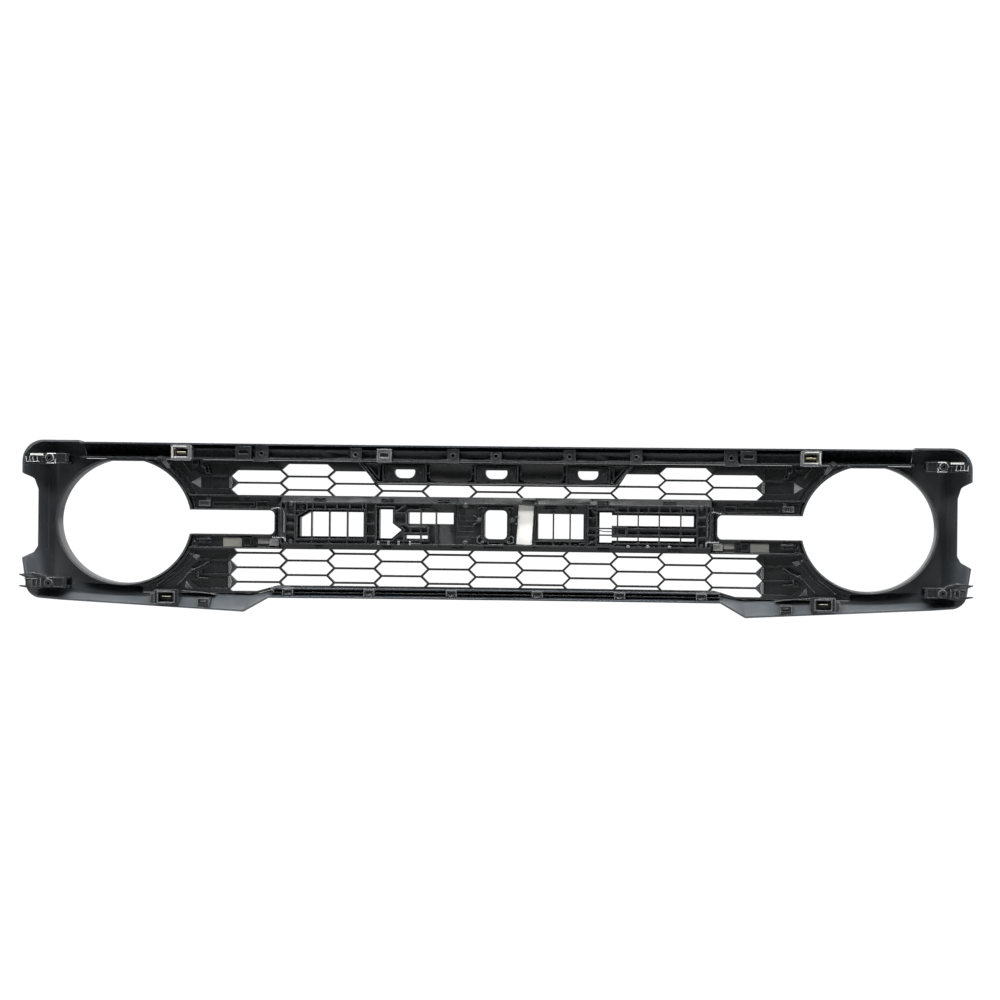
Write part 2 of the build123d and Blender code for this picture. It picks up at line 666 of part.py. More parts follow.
def camera_retainers():
    """Four small corner clips that hold the camera in its bezel."""
    clips = []
    low = y_at(0, CARRIER_PLATE_REAR) + 6
    for x_side in (-1, 1):
        for z_side in (-1, 1):
            middle = Pos(x_side * (CAMERA_WIDTH / 2 + 1), low + 2.5, z_side * (CAMERA_HEIGHT / 2 + 1))
            clips.append(middle * Rot(0, x_side * z_side * 45, 0) * Box(11, 5, 3.2))
    return Compound(children=clips)


def sensor_slot(x, width, margin):
    """A half-round opening with a flat top, as a sketch."""
    half = width / 2 + margin
    top = 89 + margin
    bottom = 75 - margin
    shape = FilletPolyline(
        (x - half, top), (x + half, top), (x + half, bottom), (x - half, bottom),
        radius=[2, 2, 10, 10], close=True,
    )
    return make_face(shape)


def bridge_panel():
    """The tapering panel between the top rail and the upper mesh, with sensor openings."""
    openings = Sketch()
    collars = Sketch()
    pads = Sketch()
    for x, width in SENSOR_SLOTS:
        openings += sensor_slot(x, width, 0)
        collars += sensor_slot(x, width, 2)
        pads += area(x - 35, x + 35, 70, 97)
    whole = bridge_area(0)
    core = bridge_area(-2.6)
    panel = slab(whole - openings, 5, 8)
    panel += slab(whole - core, 8, 30)
    panel += slab(pads - openings, 24, 27)
    panel += slab(collars - openings, 8, 27)
    walls = Sketch()
    for x, _ in SENSOR_SLOTS:
        for side in (-1, 1):
            walls += area(x + side * 35 - 1.2, x + side * 35 + 1.2, BRIDGE_BOTTOM, BRIDGE_TOP)
    panel += slab(walls, 8, 34)
    return panel


def bridge_gussets(bridge):
    """Triangular gussets at the two slanted ends of the bridge panel."""
    gusset = outline((190, 97), (214, 97), (191, 71)) - outline((192.6, 95), (209.4, 95), (193.3, 77))
    left = slab(gusset, 8, 32) - bridge
    return [largest(left), largest(flip(left))]


def nut_plate(x, width, flare, z_low, z_high, rail):
    """A nut plate across the top rail's rib and flange, with its collared hole."""
    seat = y_at(x, TOP_RAIL_REAR)
    half = width / 2
    face = outline(
        (x - half, z_high), (x + half, z_high), (x + half, z_low + 6),
        (x + half + flare, z_low), (x - half, z_low), (x - half, z_low + 6),
    )
    low = block(x - 30, x + 30, seat - 3, seat + NUT_THICKNESS, 90, 130)
    plate = (prism(face) & low) + rod(x, NUT_Z, NUT_COLLAR, seat, seat + NUT_THICKNESS + 1.5)
    plate -= rail
    return largest(plate - rod(x, NUT_Z, NUT_HOLE, seat - 20, seat + 20))


def clip_pocket(x, z):
    """The open pocket of a spring clip housing."""
    rear = y_at(x, CLIP_REAR)
    half = POCKET_WIDTH / 2
    low, high = z - POCKET_HALF_HEIGHT, z + POCKET_HALF_HEIGHT
    return block(x - half, x + half, rear - POCKET_DEPTH, rear + 10, low, high)


def clip_housing(place):
    """The plastic housing of a spring clip, open to the rear."""
    x, z, width, height = place
    body = block(
        x - width / 2, x + width / 2, y_at(x, CLIP_FRONT), y_at(x, CLIP_REAR),
        z - height / 2, z + height / 2,
    )
    body = fillet(body.edges().filter_by(Axis.Y), 3)
    return body - clip_pocket(x, z)


def clip_leaf(place):
    """The sprung metal leaf: from its root near the pocket's floor down to a bent tip."""
    x, z = place[0], place[1]
    floor = y_at(x, CLIP_REAR) - POCKET_DEPTH
    root = (floor + 2.0, z + 5.5)
    knee = (floor + 15.0, z - 1.0)
    tip = (floor + 19.0, z + 1.5)
    path = Polyline(root, knee, tip)
    strip = trace(path, line_width=LEAF_THICKNESS)
    return extrude(Plane.YZ.offset(x) * strip, amount=LEAF_WIDTH / 2, both=True)


def snap_clip(x, z, width, height, front, rear):
    """A small snap clip: a block with a catch slot open to the rear."""
    body = block(
        x - width / 2, x + width / 2, y_at(x, front), y_at(x, rear), z - height / 2, z + height / 2
    )
    slot = block(
        x - width * 0.3, x + width * 0.3, y_at(x, rear) - 8, y_at(x, rear) + 1,
        z - height * 0.12, z + height * 0.2,
    )
    return body - slot


def corner_bracket(side, cavity):
    """A corner bracket with its boss on the fixing line; side is 1 for upper, -1 for lower."""
    low, high = sorted((side * BRACKET_Z[0], side * BRACKET_Z[1]))
    inner_x, outer_x = BRACKET_X
    front_y, rear_y = BRACKET_Y
    body = block(inner_x, outer_x, front_y, rear_y, low, high)
    body -= block(
        inner_x - BRACKET_WALL, outer_x - 2 * BRACKET_WALL, front_y + BRACKET_WALL, rear_y - 8,
        low + BRACKET_WALL, high - BRACKET_WALL,
    )
    body += block(inner_x, EAR_END_X, rear_y, EAR_REAR_Y, low, high)
    body = body & cavity
    middle_z = side * CORNER_Z
    body += rod(CORNER_X, middle_z, CORNER_BOSS, rear_y, 0)
    body -= rod(CORNER_X, middle_z, CORNER_HOLE, rear_y - 18, 1)
    for x_low, x_high in EAR_POCKETS:
        body -= block(
            x_low, x_high, rear_y - 1, EAR_REAR_Y + 1, middle_z - EAR_POCKET_HALF, middle_z + EAR_POCKET_HALF
        )
    return largest(body)


def prongs():
    """The two tapering locating prongs of a lower corner bracket."""
    root_x, tip_x = PRONG_X
    pair = Part()
    for root_z, tip_z in PRONG_LEVELS:
        face = outline(
            (root_x, root_z + PRONG_HALF_ROOT), (tip_x, tip_z + PRONG_HALF_TIP),
            (tip_x, tip_z - PRONG_HALF_TIP), (root_x, root_z - PRONG_HALF_ROOT),
        )
        pair += prism(face) & block(root_x - 10, tip_x + 10, *PRONG_Y, -130, 0)
    return pair


def screw(x, z, head_y, head_radius, shank_radius, length):
    """A pan-head screw whose head stands on the plane Y = head_y, pointing forwards."""
    head = rod(x, z, head_radius, head_y, head_y + 2.6)
    head = fillet(head.edges().sort_by(Axis.Y)[-1], 1)
    recess = block(x - 0.6, x + 0.6, head_y + 1.4, head_y + 3, z - 2, z + 2)
    recess += block(x - 2, x + 2, head_y + 1.4, head_y + 3, z - 0.6, z + 0.6)
    return head - recess + rod(x, z, shank_radius, head_y - length, head_y)


nodes = {}

# Surround.
cavity = skin_loft(SKIN, True)
left_shell = end_shell(cavity)
right_shell = flip(left_shell)
nodes["end_shell_left"] = left_shell
nodes["end_shell_right"] = right_shell
rail_top = top_rail()
nodes["top_rail"] = rail_top
rail_bottom = bottom_rail()
nodes["bottom_rail"] = rail_bottom
left_ring = lamp_ring()
nodes["headlamp_ring_left"] = left_ring
nodes["headlamp_ring_right"] = flip(left_ring)

# Mesh inserts and bridge.
nodes["upper_mesh_insert"] = upper_mesh()
nodes["lower_mesh_insert"] = lower_mesh([left_shell, right_shell])
bridge = bridge_panel()
nodes["bridge_panel"] = bridge
nodes["bridge_gussets"] = Compound(children=bridge_gussets(bridge))

# Centre bar.
nodes["centre_bar_cover"] = sections(bar_cover(), COVER_JOINTS)
nodes["centre_bar_carrier"] = sections(carrier(), CARRIER_JOINTS)
left_liner = slot_liner()
nodes["slot_liner_left"] = left_liner
nodes["slot_liner_right"] = flip(left_liner)
nodes["camera_bezel"] = camera_bezel()
nodes["camera_retainers"] = camera_retainers()

# Fixings on the top rail.
outer_plate = nut_plate(NUT_OUTER_X, 22, 4, 99, 124, rail_top)
middle_plate = nut_plate(NUT_MIDDLE_X, 19, 0, 100, 123, rail_top)
inner_plates = [nut_plate(x, 19, 0, 100, 123, rail_top) for x in NUT_INNER_X]
nodes["nut_plates_outer"] = Compound(children=[outer_plate, flip(outer_plate)])
nodes["nut_plates_middle"] = Compound(children=[middle_plate, flip(middle_plate)])
nodes["nut_plates_inner"] = Compound(children=inner_plates)
nodes["nut_plate_centre"] = nut_plate(0, 17, 0, 100, 118, rail_top)

# Spring clips.
upper_housing = largest(clip_housing(UPPER_CLIP) - rail_top)
lower_housing = largest(clip_housing(LOWER_CLIP) & cavity)
nodes["spring_clip_upper_left"] = upper_housing
nodes["spring_clip_upper_right"] = flip(upper_housing)
nodes["spring_clip_lower_left"] = lower_housing
nodes["spring_clip_lower_right"] = flip(lower_housing)
upper_leaf = clip_leaf(UPPER_CLIP)
lower_leaf = clip_leaf(LOWER_CLIP)
nodes["clip_leaf_upper_left"] = upper_leaf
nodes["clip_leaf_upper_right"] = flip(upper_leaf)
nodes["clip_leaf_lower_left"] = lower_leaf
nodes["clip_leaf_lower_right"] = flip(lower_leaf)

# Plain clips.
top_clip = largest(snap_clip(*TOP_CLIP, 40, 62) - rail_top)
nodes["snap_clips_top"] = Compound(children=[top_clip, flip(top_clip)])
nodes["u_clip_top"] = largest(snap_clip(*U_CLIP, 40, 62) - rail_top)
chin_clip = largest(snap_clip(*CHIN_CLIP, 36, 62) & cavity)
nodes["snap_clips_chin"] = Compound(children=[chin_clip, flip(chin_clip)])
rail_clips = []
for clip_x in RAIL_CLIP_PLACES:
    rail_clip = largest(snap_clip(clip_x, RAIL_CLIP_Z, *RAIL_CLIP_SIZE, 40, 56) - rail_bottom)
    rail_clips += [rail_clip, flip(rail_clip)]
nodes["rail_clips_bottom"] = Compound(children=rail_clips)

# Corner brackets.
upper_bracket = corner_bracket(1, cavity)
lower_bracket = corner_bracket(-1, cavity) + prongs()
nodes["corner_bracket_upper_left"] = upper_bracket
nodes["corner_bracket_upper_right"] = flip(upper_bracket)
nodes["corner_bracket_lower_left"] = lower_bracket
nodes["corner_bracket_lower_right"] = flip(lower_bracket)

# Pads, label and fasteners.
pad = slab(area(*FOAM_PAD), CARRIER_FRONT, PAD_REARS[0])
nodes["foam_pads"] = Compound(children=[largest(pad), largest(flip(pad))])
light_pad = slab(area(*LIGHT_PAD), CARRIER_FRONT, PAD_REARS[1])
nodes["light_pads"] = Compound(children=[largest(light_pad), largest(flip(light_pad))])
label = Pos(LABEL_X, 0) * Rot(0, 0, LABEL_TILT) * Rectangle(*LABEL_SIZE)
label_sheet = slab(label, CARRIER_PLATE_REAR, CARRIER_PLATE_REAR + LABEL_THICKNESS)
nodes["blank_label"] = largest(label_sheet)
carrier_screws = []
for screw_x, screw_z in CARRIER_SCREWS:
    head_y = y_at(screw_x, CARRIER_PLATE_REAR) + 5
    carrier_screws.append(screw(screw_x, screw_z, head_y, 4, 1.8, 18))
nodes["carrier_screws"] = Compound(children=carrier_screws)
ring_screws = []
for side in (-1, 1):
    head_y = y_at(RING_SCREW[0], RING_SCREW_DEPTH)
    ring_screws.append(screw(side * RING_SCREW[0], RING_SCREW[1], head_y, 4, 1.9, 11))
nodes["ring_screws"] = Compound(children=ring_screws)

os.makedirs("parts", exist_ok=True)
for name, shape in nodes.items():
    export_step(shape, "parts/" + name + ".step")
    print(name, len(shape.solids()))
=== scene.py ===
import json
import math

import bmesh
import bpy
from mathutils import Matrix, Vector


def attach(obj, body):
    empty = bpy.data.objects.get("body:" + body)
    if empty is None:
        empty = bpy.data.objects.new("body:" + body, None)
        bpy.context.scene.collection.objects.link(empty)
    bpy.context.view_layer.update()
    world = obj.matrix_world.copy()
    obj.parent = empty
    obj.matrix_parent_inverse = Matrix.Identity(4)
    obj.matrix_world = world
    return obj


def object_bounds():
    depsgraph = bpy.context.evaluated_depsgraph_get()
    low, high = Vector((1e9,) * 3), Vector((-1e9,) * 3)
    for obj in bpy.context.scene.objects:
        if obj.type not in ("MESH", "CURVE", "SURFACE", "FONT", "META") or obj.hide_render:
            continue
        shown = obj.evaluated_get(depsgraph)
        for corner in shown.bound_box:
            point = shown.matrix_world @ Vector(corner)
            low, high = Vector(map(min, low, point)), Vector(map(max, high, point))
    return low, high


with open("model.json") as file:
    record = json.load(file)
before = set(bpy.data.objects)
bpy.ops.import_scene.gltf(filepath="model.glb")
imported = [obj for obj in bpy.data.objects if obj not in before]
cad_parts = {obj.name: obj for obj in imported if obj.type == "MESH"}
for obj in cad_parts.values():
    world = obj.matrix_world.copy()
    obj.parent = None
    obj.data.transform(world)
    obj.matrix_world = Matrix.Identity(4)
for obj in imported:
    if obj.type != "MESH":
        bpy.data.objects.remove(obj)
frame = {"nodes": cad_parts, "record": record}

CAD_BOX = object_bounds()
MM = 0.001
NODES = frame["nodes"]
SCENE = bpy.context.scene


# ---------------------------------------------------------------- materials

def new_material(name):
    """An empty node material, its tree and its shader."""
    material = bpy.data.materials.new(name)
    material.use_nodes = True
    tree = material.node_tree
    return material, tree, tree.nodes["Principled BSDF"]


def add(tree, kind, **values):
    """A node with some of its properties or input sockets set."""
    node = tree.nodes.new("ShaderNode" + kind)
    for key, value in values.items():
        if key in node.inputs:
            node.inputs[key].default_value = value
        else:
            setattr(node, key, value)
    return node


def link(tree, source, output, target, socket):
    """A link from a node's named output to another node's named socket."""
    tree.links.new(source.outputs[output], target.inputs[socket])


# Where along the drift noise the dark tone ends and the light tone begins.
DARK_STOP = 0.35
LIGHT_STOP = 0.68

# Painted highlight on edges and inner corners: reach of the rounding in metres, the normals' dot product
# where the painted highlight starts and where it is full, and how much paler than the light tone the edge
# is.
EDGE_WIDTH = 0.9 * MM
HIGHLIGHT_STARTS = 0.995
HIGHLIGHT_FULL = 0.9
HIGHLIGHT_GAIN = 4.0
HIGHLIGHT_LIFT = 0.05

# Noise scales, and how far the patches move the roughness either way.
DRIFT_SCALE = 9.0
PATCH_SCALE = 42.0
SMOOTHER = 0.07
ROUGHER = 0.09
BUMP_STRENGTH = 0.5


def tone_ramp(tree, dark, light):
    """A ramp from the dark tone to the light one."""
    ramp = add(tree, "ValToRGB")
    low, high = ramp.color_ramp.elements
    low.position = DARK_STOP
    low.color = (*dark, 1)
    high.position = LIGHT_STOP
    high.color = (*light, 1)
    return ramp


def moulded(name, dark, light, rough, grain_mm, grain_depth, edge, metallic=0.0):
    """Moulded plastic or plated metal: fine grain, slow drift, satin patches and a painted highlight on
    edges and inner corners.
    """
    material, tree, shader = new_material(name)
    place = add(tree, "TexCoord")
    drift = add(tree, "TexNoise", Scale=DRIFT_SCALE, Detail=3.0, Roughness=0.55)
    link(tree, place, "Object", drift, "Vector")
    colours = tone_ramp(tree, dark, light)
    link(tree, drift, "Fac", colours, "Fac")
    rounded = add(tree, "Bevel", samples=4, Radius=EDGE_WIDTH)
    facing = add(tree, "NewGeometry")
    turned = add(tree, "VectorMath", operation="DOT_PRODUCT")
    tree.links.new(rounded.outputs["Normal"], turned.inputs[0])
    tree.links.new(facing.outputs["Normal"], turned.inputs[1])
    edge_highlight_mask = add(tree, "MapRange", **{"From Min": HIGHLIGHT_STARTS, "From Max": HIGHLIGHT_FULL, "To Max": edge})
    link(tree, turned, "Value", edge_highlight_mask, "Value")
    # The paler tone mixed in at edges and inner corners is a painted highlight.
    edge_highlight_tone = tuple(min(1.0, c * HIGHLIGHT_GAIN + HIGHLIGHT_LIFT) for c in light)
    edge_highlight_mix = add(tree, "MixRGB", Color2=(*edge_highlight_tone, 1))
    link(tree, edge_highlight_mask, "Result", edge_highlight_mix, "Fac")
    link(tree, colours, "Color", edge_highlight_mix, "Color1")
    link(tree, edge_highlight_mix, "Color", shader, "Base Color")
    patches = add(tree, "TexNoise", Scale=PATCH_SCALE, Detail=4.0)
    link(tree, place, "Object", patches, "Vector")
    roughness = add(tree, "MapRange", **{"To Min": rough - SMOOTHER, "To Max": rough + ROUGHER})
    link(tree, patches, "Fac", roughness, "Value")
    link(tree, roughness, "Result", shader, "Roughness")
    grain = add(tree, "TexNoise", Scale=1.0 / (grain_mm * MM), Detail=2.0, Roughness=0.6)
    link(tree, place, "Object", grain, "Vector")
    bump = add(tree, "Bump", Strength=BUMP_STRENGTH, Distance=grain_depth * MM)
    link(tree, grain, "Fac", bump, "Height")
    link(tree, bump, "Normal", shader, "Normal")
    shader.inputs["Metallic"].default_value = metallic
    return material


# Slot: material name, dark tone, light tone, roughness, grain width and depth in mm, strength of the
# painted edge highlight, metallic.
FINISHES = {
    "shell_plastic": (
        "shell_moulding", (0.036, 0.041, 0.045), (0.068, 0.074, 0.080),
        0.30, 0.6, 0.05, 0.3, 0.0,
    ),
    "ring_plastic": (
        "ring_moulding", (0.012, 0.013, 0.015), (0.022, 0.023, 0.026),
        0.30, 0.6, 0.03, 0.6, 0.0,
    ),
    "rail_plastic": (
        "rail_moulding", (0.018, 0.0205, 0.023), (0.032, 0.036, 0.041),
        0.26, 0.6, 0.03, 0.8, 0.0,
    ),
    "mesh_plastic": (
        "mesh_moulding", (0.007, 0.008, 0.009), (0.016, 0.017, 0.019),
        0.27, 0.6, 0.03, 0.7, 0.0,
    ),
    "black_plastic": (
        "black_moulding", (0.006, 0.0068, 0.0075), (0.014, 0.015, 0.0165),
        0.27, 0.7, 0.04, 0.9, 0.0,
    ),
    "gloss_plastic": (
        "glossy_moulding", (0.004, 0.005, 0.006), (0.012, 0.013, 0.014),
        0.2, 0.6, 0.02, 1.0, 0.0,
    ),
    # Paler copy of the black plastic: its tone is a painted highlight on the ribs, rims and clip edges
    # that it is given to.
    "edge_plastic": (
        "painted_highlight_moulding", (0.022, 0.024, 0.026), (0.050, 0.053, 0.056),
        0.24, 0.6, 0.02, 1.0, 0.0,
    ),
    # Pale copy of the black plastic: its tone is a painted highlight on facets, fins, posts and hooks that
    # catch the light.
    "facet_plastic": (
        "painted_highlight_facets", (0.07, 0.074, 0.08), (0.17, 0.175, 0.18),
        0.24, 0.6, 0.02, 0.8, 0.0,
    ),
    "nut_plate_plastic": (
        "nut_plate_moulding", (0.034, 0.037, 0.040), (0.080, 0.084, 0.088),
        0.3, 0.6, 0.03, 0.9, 0.0,
    ),
    "light_clip_plastic": (
        "clip_moulding", (0.06, 0.064, 0.067), (0.12, 0.125, 0.128),
        0.3, 0.6, 0.03, 0.8, 0.0,
    ),
    # Cream colour of the upper clips' lips; on the upper bracket rims the same pale tone is a painted
    # highlight.
    "cream_plastic": (
        "cream_and_highlight_moulding", (0.40, 0.40, 0.37), (0.56, 0.55, 0.51),
        0.35, 0.6, 0.02, 0.3, 0.0,
    ),
    "foam": (
        "foam", (0.17, 0.17, 0.155), (0.29, 0.285, 0.26),
        0.9, 1.2, 0.3, 0.1, 0.0,
    ),
    "light_pad": (
        "felt_tape", (0.22, 0.22, 0.22), (0.36, 0.36, 0.35),
        0.7, 0.8, 0.2, 0.1, 0.0,
    ),
    "label_film": (
        "paper_film", (0.86, 0.855, 0.82), (0.92, 0.915, 0.885),
        0.75, 0.6, 0.01, 0.0, 0.0,
    ),
    "zinc_screw": (
        "zinc_plating", (0.10, 0.10, 0.105), (0.2, 0.2, 0.205),
        0.3, 0.6, 0.02, 0.2, 1.0,
    ),
    "spring_steel": (
        "spring_steel", (0.5, 0.47, 0.33), (0.64, 0.61, 0.45),
        0.3, 0.6, 0.01, 0.1, 1.0,
    ),
}
MATERIALS = {slot: moulded(*finish) for slot, finish in FINISHES.items()}


# ---------------------------------------------------------------- carried-over CAD nodes

SLOTS = {row["node"]: row["material_slot"] for row in frame["record"]["subparts"]}
CAD_BEVEL = 0.4
WELD_GAP = 0.01 * MM
SHARP = math.radians(35)


def soften(piece, width):
    """Rounded edges of a width in millimetres, after the piece's split corners are welded."""
    weld = piece.modifiers.new("weld", "WELD")
    weld.merge_threshold = WELD_GAP
    bevel = piece.modifiers.new("soften", "BEVEL")
    bevel.width = width * MM
    bevel.segments = 2
    bevel.limit_method = "ANGLE"
    bevel.angle_limit = SHARP
    bevel.use_clamp_overlap = True


for node_name, cad_piece in NODES.items():
    cad_piece.data.materials.clear()
    cad_piece.data.materials.append(MATERIALS[SLOTS[node_name]])
    soften(cad_piece, CAD_BEVEL)


# ---------------------------------------------------------------- detail pieces

# The front face's plan sweep, in millimetres, as the CAD parts have it.
FRONT_Y = -135.0
SWEEP_RADIUS = 4000.0
TANGENT_X = 420.0


def sweep_back(x):
    """How far the front face has swept back at a distance x from the middle."""
    run = math.sqrt(SWEEP_RADIUS**2 - TANGENT_X**2)
    if abs(x) <= TANGENT_X:
        return SWEEP_RADIUS - math.sqrt(SWEEP_RADIUS**2 - x**2)
    return SWEEP_RADIUS - run + (abs(x) - TANGENT_X) * TANGENT_X / run


def swept(x, z, depth):
    """A point at a depth behind the swept front face; millimetres in, metres out."""
    return Vector((x, FRONT_Y + sweep_back(x) + depth, z)) * MM


def level_with(x, z, y):
    """A point at an absolute Y; millimetres in, metres out."""
    return Vector((x, y, z)) * MM


def join_rings(shape, rings, closed=False):
    """Faces between rings of points, with end caps unless the rings close on themselves."""
    pairs = list(zip(rings, rings[1:])) + ([(rings[-1], rings[0])] if closed else [])
    for one, other in pairs:
        for i in range(len(one)):
            shape.faces.new((one[i - 1], one[i], other[i], other[i - 1]))
    if not closed:
        shape.faces.new(rings[0])
        shape.faces.new(rings[-1])


def prism(shape, corners, front, rear, place=swept):
    """A solid of an outline in X and Z; rear is one depth, or one for each corner."""
    rears = rear if isinstance(rear, tuple) else (rear,) * len(corners)
    near = [shape.verts.new(place(x, z, front)) for x, z in corners]
    far = [shape.verts.new(place(x, z, depth)) for (x, z), depth in zip(corners, rears)]
    join_rings(shape, [near, far])


def block(shape, box, front, rear, place=swept):
    """A rectangular solid; box is low X, high X, low Z and high Z."""
    x0, x1, z0, z1 = box
    prism(shape, [(x0, z0), (x1, z0), (x1, z1), (x0, z1)], front, rear, place)


def cup(shape, box, front, rear, thick, floor):
    """A box with walls of one thickness round a pocket that is open to the rear."""
    x0, x1, z0, z1 = box
    outer = [(x0, z0), (x1, z0), (x1, z1), (x0, z1)]
    inner = [
        (x0 + thick, z0 + thick), (x1 - thick, z0 + thick),
        (x1 - thick, z1 - thick), (x0 + thick, z1 - thick),
    ]
    levels = ((outer, front), (outer, rear), (inner, rear), (inner, floor))
    join_rings(shape, [[shape.verts.new(swept(x, z, depth)) for x, z in ring] for ring, depth in levels])


# A mitre grows no longer than the wall's width divided by this.
MITRE_LIMIT = 0.4


def wall(shape, path, width, front, rear, place=swept, closed=False):
    """A thin mitred wall along a run of points in X and Z."""
    points = [Vector(pair) for pair in path]
    rings = []
    for i, here in enumerate(points):
        sides = []
        if i or closed:
            sides.append((here - points[i - 1]).normalized().orthogonal())
        if closed or i < len(points) - 1:
            sides.append((points[(i + 1) % len(points)] - here).normalized().orthogonal())
        side = sum(sides, Vector((0, 0))).normalized()
        side *= width / 2 / max(MITRE_LIMIT, side.dot(sides[0]))
        edges = ((here + side, front), (here + side, rear), (here - side, rear), (here - side, front))
        rings.append([shape.verts.new(place(at.x, at.y, depth)) for at, depth in edges])
    join_rings(shape, rings, closed)


COLLAR_SIDES = 28
COLLAR_CHAMFER = 0.5
ROD_SIDES = 12


def collar(shape, x, z, outer, inner, front, rear, place=swept):
    """A round collar with a chamfered rim, round an axis along Y."""
    profile = (
        (outer, front), (outer, rear - COLLAR_CHAMFER), (outer - COLLAR_CHAMFER, rear),
        (inner, rear), (inner, front),
    )
    rings = []
    for i in range(COLLAR_SIDES):
        turn = 2 * math.pi * i / COLLAR_SIDES
        outward = Vector((math.cos(turn), 0, math.sin(turn))) * MM
        rings.append([shape.verts.new(place(x, z, depth) + outward * radius) for radius, depth in profile])
    join_rings(shape, rings, closed=True)


def rod(shape, points, radii):
    """A round rod through points, with a radius in millimetres at each."""
    turns = [2 * math.pi * k / ROD_SIDES for k in range(ROD_SIDES)]
    last = len(points) - 1
    rings = []
    for i, here in enumerate(points):
        along = (points[min(i + 1, last)] - points[max(i - 1, 0)]).normalized()
        one = along.orthogonal().normalized()
        other = along.cross(one)
        rings.append([
            shape.verts.new(here + (one * math.cos(turn) + other * math.sin(turn)) * radii[i] * MM)
            for turn in turns
        ])
    join_rings(shape, rings)


def finish_piece(name, shape, material, width):
    """A piece of the grille from a finished shape."""
    bmesh.ops.recalc_face_normals(shape, faces=shape.faces)
    mesh = bpy.data.meshes.new(name)
    shape.to_mesh(mesh)
    shape.free()
    mesh.materials.append(MATERIALS[material])
    piece = bpy.data.objects.new(name, mesh)
    SCENE.collection.objects.link(piece)
    soften(piece, width)
    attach(piece, "grille")


def single(name, build, material, width=0.25):
    """One piece made by a function that fills a shape."""
    shape = bmesh.new()
    build(shape)
    finish_piece(name, shape, material, width)


def pair(name, build, material, slot, width=0.25):
    """A left piece and its mirror image on the right."""
    for side, word in ((1, "left"), (-1, "right")):
        shape = bmesh.new()
        build(shape)
        bmesh.ops.scale(shape, vec=(side, 1, 1), verts=shape.verts)
        finish_piece(name + "_" + word, shape, material, width)


# Solid ends of the mesh inserts. Details start a little inside the face that they stand on,
# here and in the groups below; depths are behind the swept front face.

FACET_INSIDE = 19.0
HOOK_INSIDE = 18.0


def mesh_end_facets(shape):
    """Bevelled webs where the cell bars run into the solid end."""
    for level, half in ((64.5, 9.5), (-74.3, 10.0), (-98.1, 10.0)):
        corners = [(425.0, level), (434.5, level - half), (434.5, level + half)]
        prism(shape, corners, FACET_INSIDE, (20.2, 22.0, 22.0))


def mesh_end_edges(shape):
    """Painted highlight along the edges of the webs at the solid ends."""
    for level, half in ((64.5, 9.0), (-74.3, 9.5), (-98.1, 9.5)):
        corners = [
            (434.0, level - half), (437.0, level - half * 0.9), (437.0, level + half * 0.9),
            (434.0, level + half), (431.5, level),
        ]
        prism(shape, corners, FACET_INSIDE, (22.6, 21.0, 21.0, 22.6, 23.2))


def blind_cell_facets(shape):
    """Sloping tips of the blind cells, and two ramps beside the lamp flange."""
    prism(shape, [(484.5, 54.8), (498.5, 64.5), (484.5, 74.0)], 10.8, (12.0, 21.5, 12.0))
    prism(shape, [(505.0, -97.5), (495.0, -109.5), (507.0, -108.0)], FACET_INSIDE, (24.5, 20.6, 21.0))
    prism(shape, [(501.5, -51.0), (482.5, -55.0), (489.0, -62.0)], FACET_INSIDE, (25.0, 20.6, 21.0))
    ramp = [(545.0, 104.0), (537.0, 100.0), (531.0, 87.5), (535.5, 86.5), (544.0, 96.5)]
    prism(shape, ramp, 26.0, (37.0, 37.0, 34.6, 34.6, 37.0))


def mesh_hooks_upper(shape):
    """Hooked bracket above the blind cells."""
    wall(shape, [(497, 99.5), (492, 103), (484, 103), (480, 99.5), (466, 99.5)], 2.2, HOOK_INSIDE, 40)
    wall(shape, [(481, 100), (480, 91), (474, 86.5), (473, 80), (467, 79)], 1.8, HOOK_INSIDE, 38)
    wall(shape, [(473, 99), (470, 90), (467, 79)], 1.4, HOOK_INSIDE, 34)
    cup(shape, (484.5, 495.5, 92.5, 101.5), HOOK_INSIDE, 37, 1.6, 24)
    block(shape, (474, 480, 88, 99), HOOK_INSIDE, 31)


def mesh_hooks_lower(shape):
    """Hooked bracket with curved ribs beside the lower blind cells."""
    wall(shape, [(498, -82), (489, -77.5), (480, -73.5), (467.5, -65.5)], 1.8, HOOK_INSIDE, 38)
    wall(shape, [(489, -77.5), (484, -84), (483, -91.5), (468, -92.5)], 1.6, HOOK_INSIDE, 36)
    wall(shape, [(467.5, -65.5), (466, -70), (483, -78)], 1.3, HOOK_INSIDE, 33)
    collar(shape, 493.0, -80.5, 4.4, 2.2, HOOK_INSIDE, 36)
    block(shape, (479, 487, -86, -76), HOOK_INSIDE, 30)
    cup(shape, (484, 492, -95, -88), HOOK_INSIDE, 28, 1.3, 22)


def end_ribs(shape):
    """Fine ribs along the lamp flange and over the chin."""
    wall(shape, [(552, -106), (544, -98.6), (534, -90.4), (523, -83.0)], 1.3, FACET_INSIDE, 30)
    wall(shape, [(514, -113.2), (490, -114.6), (470, -116.4), (455, -118.6)], 1.3, HOOK_INSIDE, 36)
    wall(shape, [(519, -104), (509, -94), (501, -83)], 1.1, FACET_INSIDE, 26)
    wall(shape, [(512, 97), (505, 88), (500, 80)], 1.1, FACET_INSIDE, 26)


def ring_feet(shape):
    """Round foot of the lamp ring beside its screw."""
    collar(shape, 546.0, 101.0, 4.6, 1.9, 24, 38)
    wall(shape, [(551, 97), (552, 103), (546, 107), (539, 105)], 1.4, 24, 37)
    rod(shape, [swept(529, 84, 35), swept(526.5, 80, 34.5), swept(524, 76, 33)], [1.2, 1.0, 0.6])


# Arms beside the lamp slots.

ARM_INSIDE = 23.5


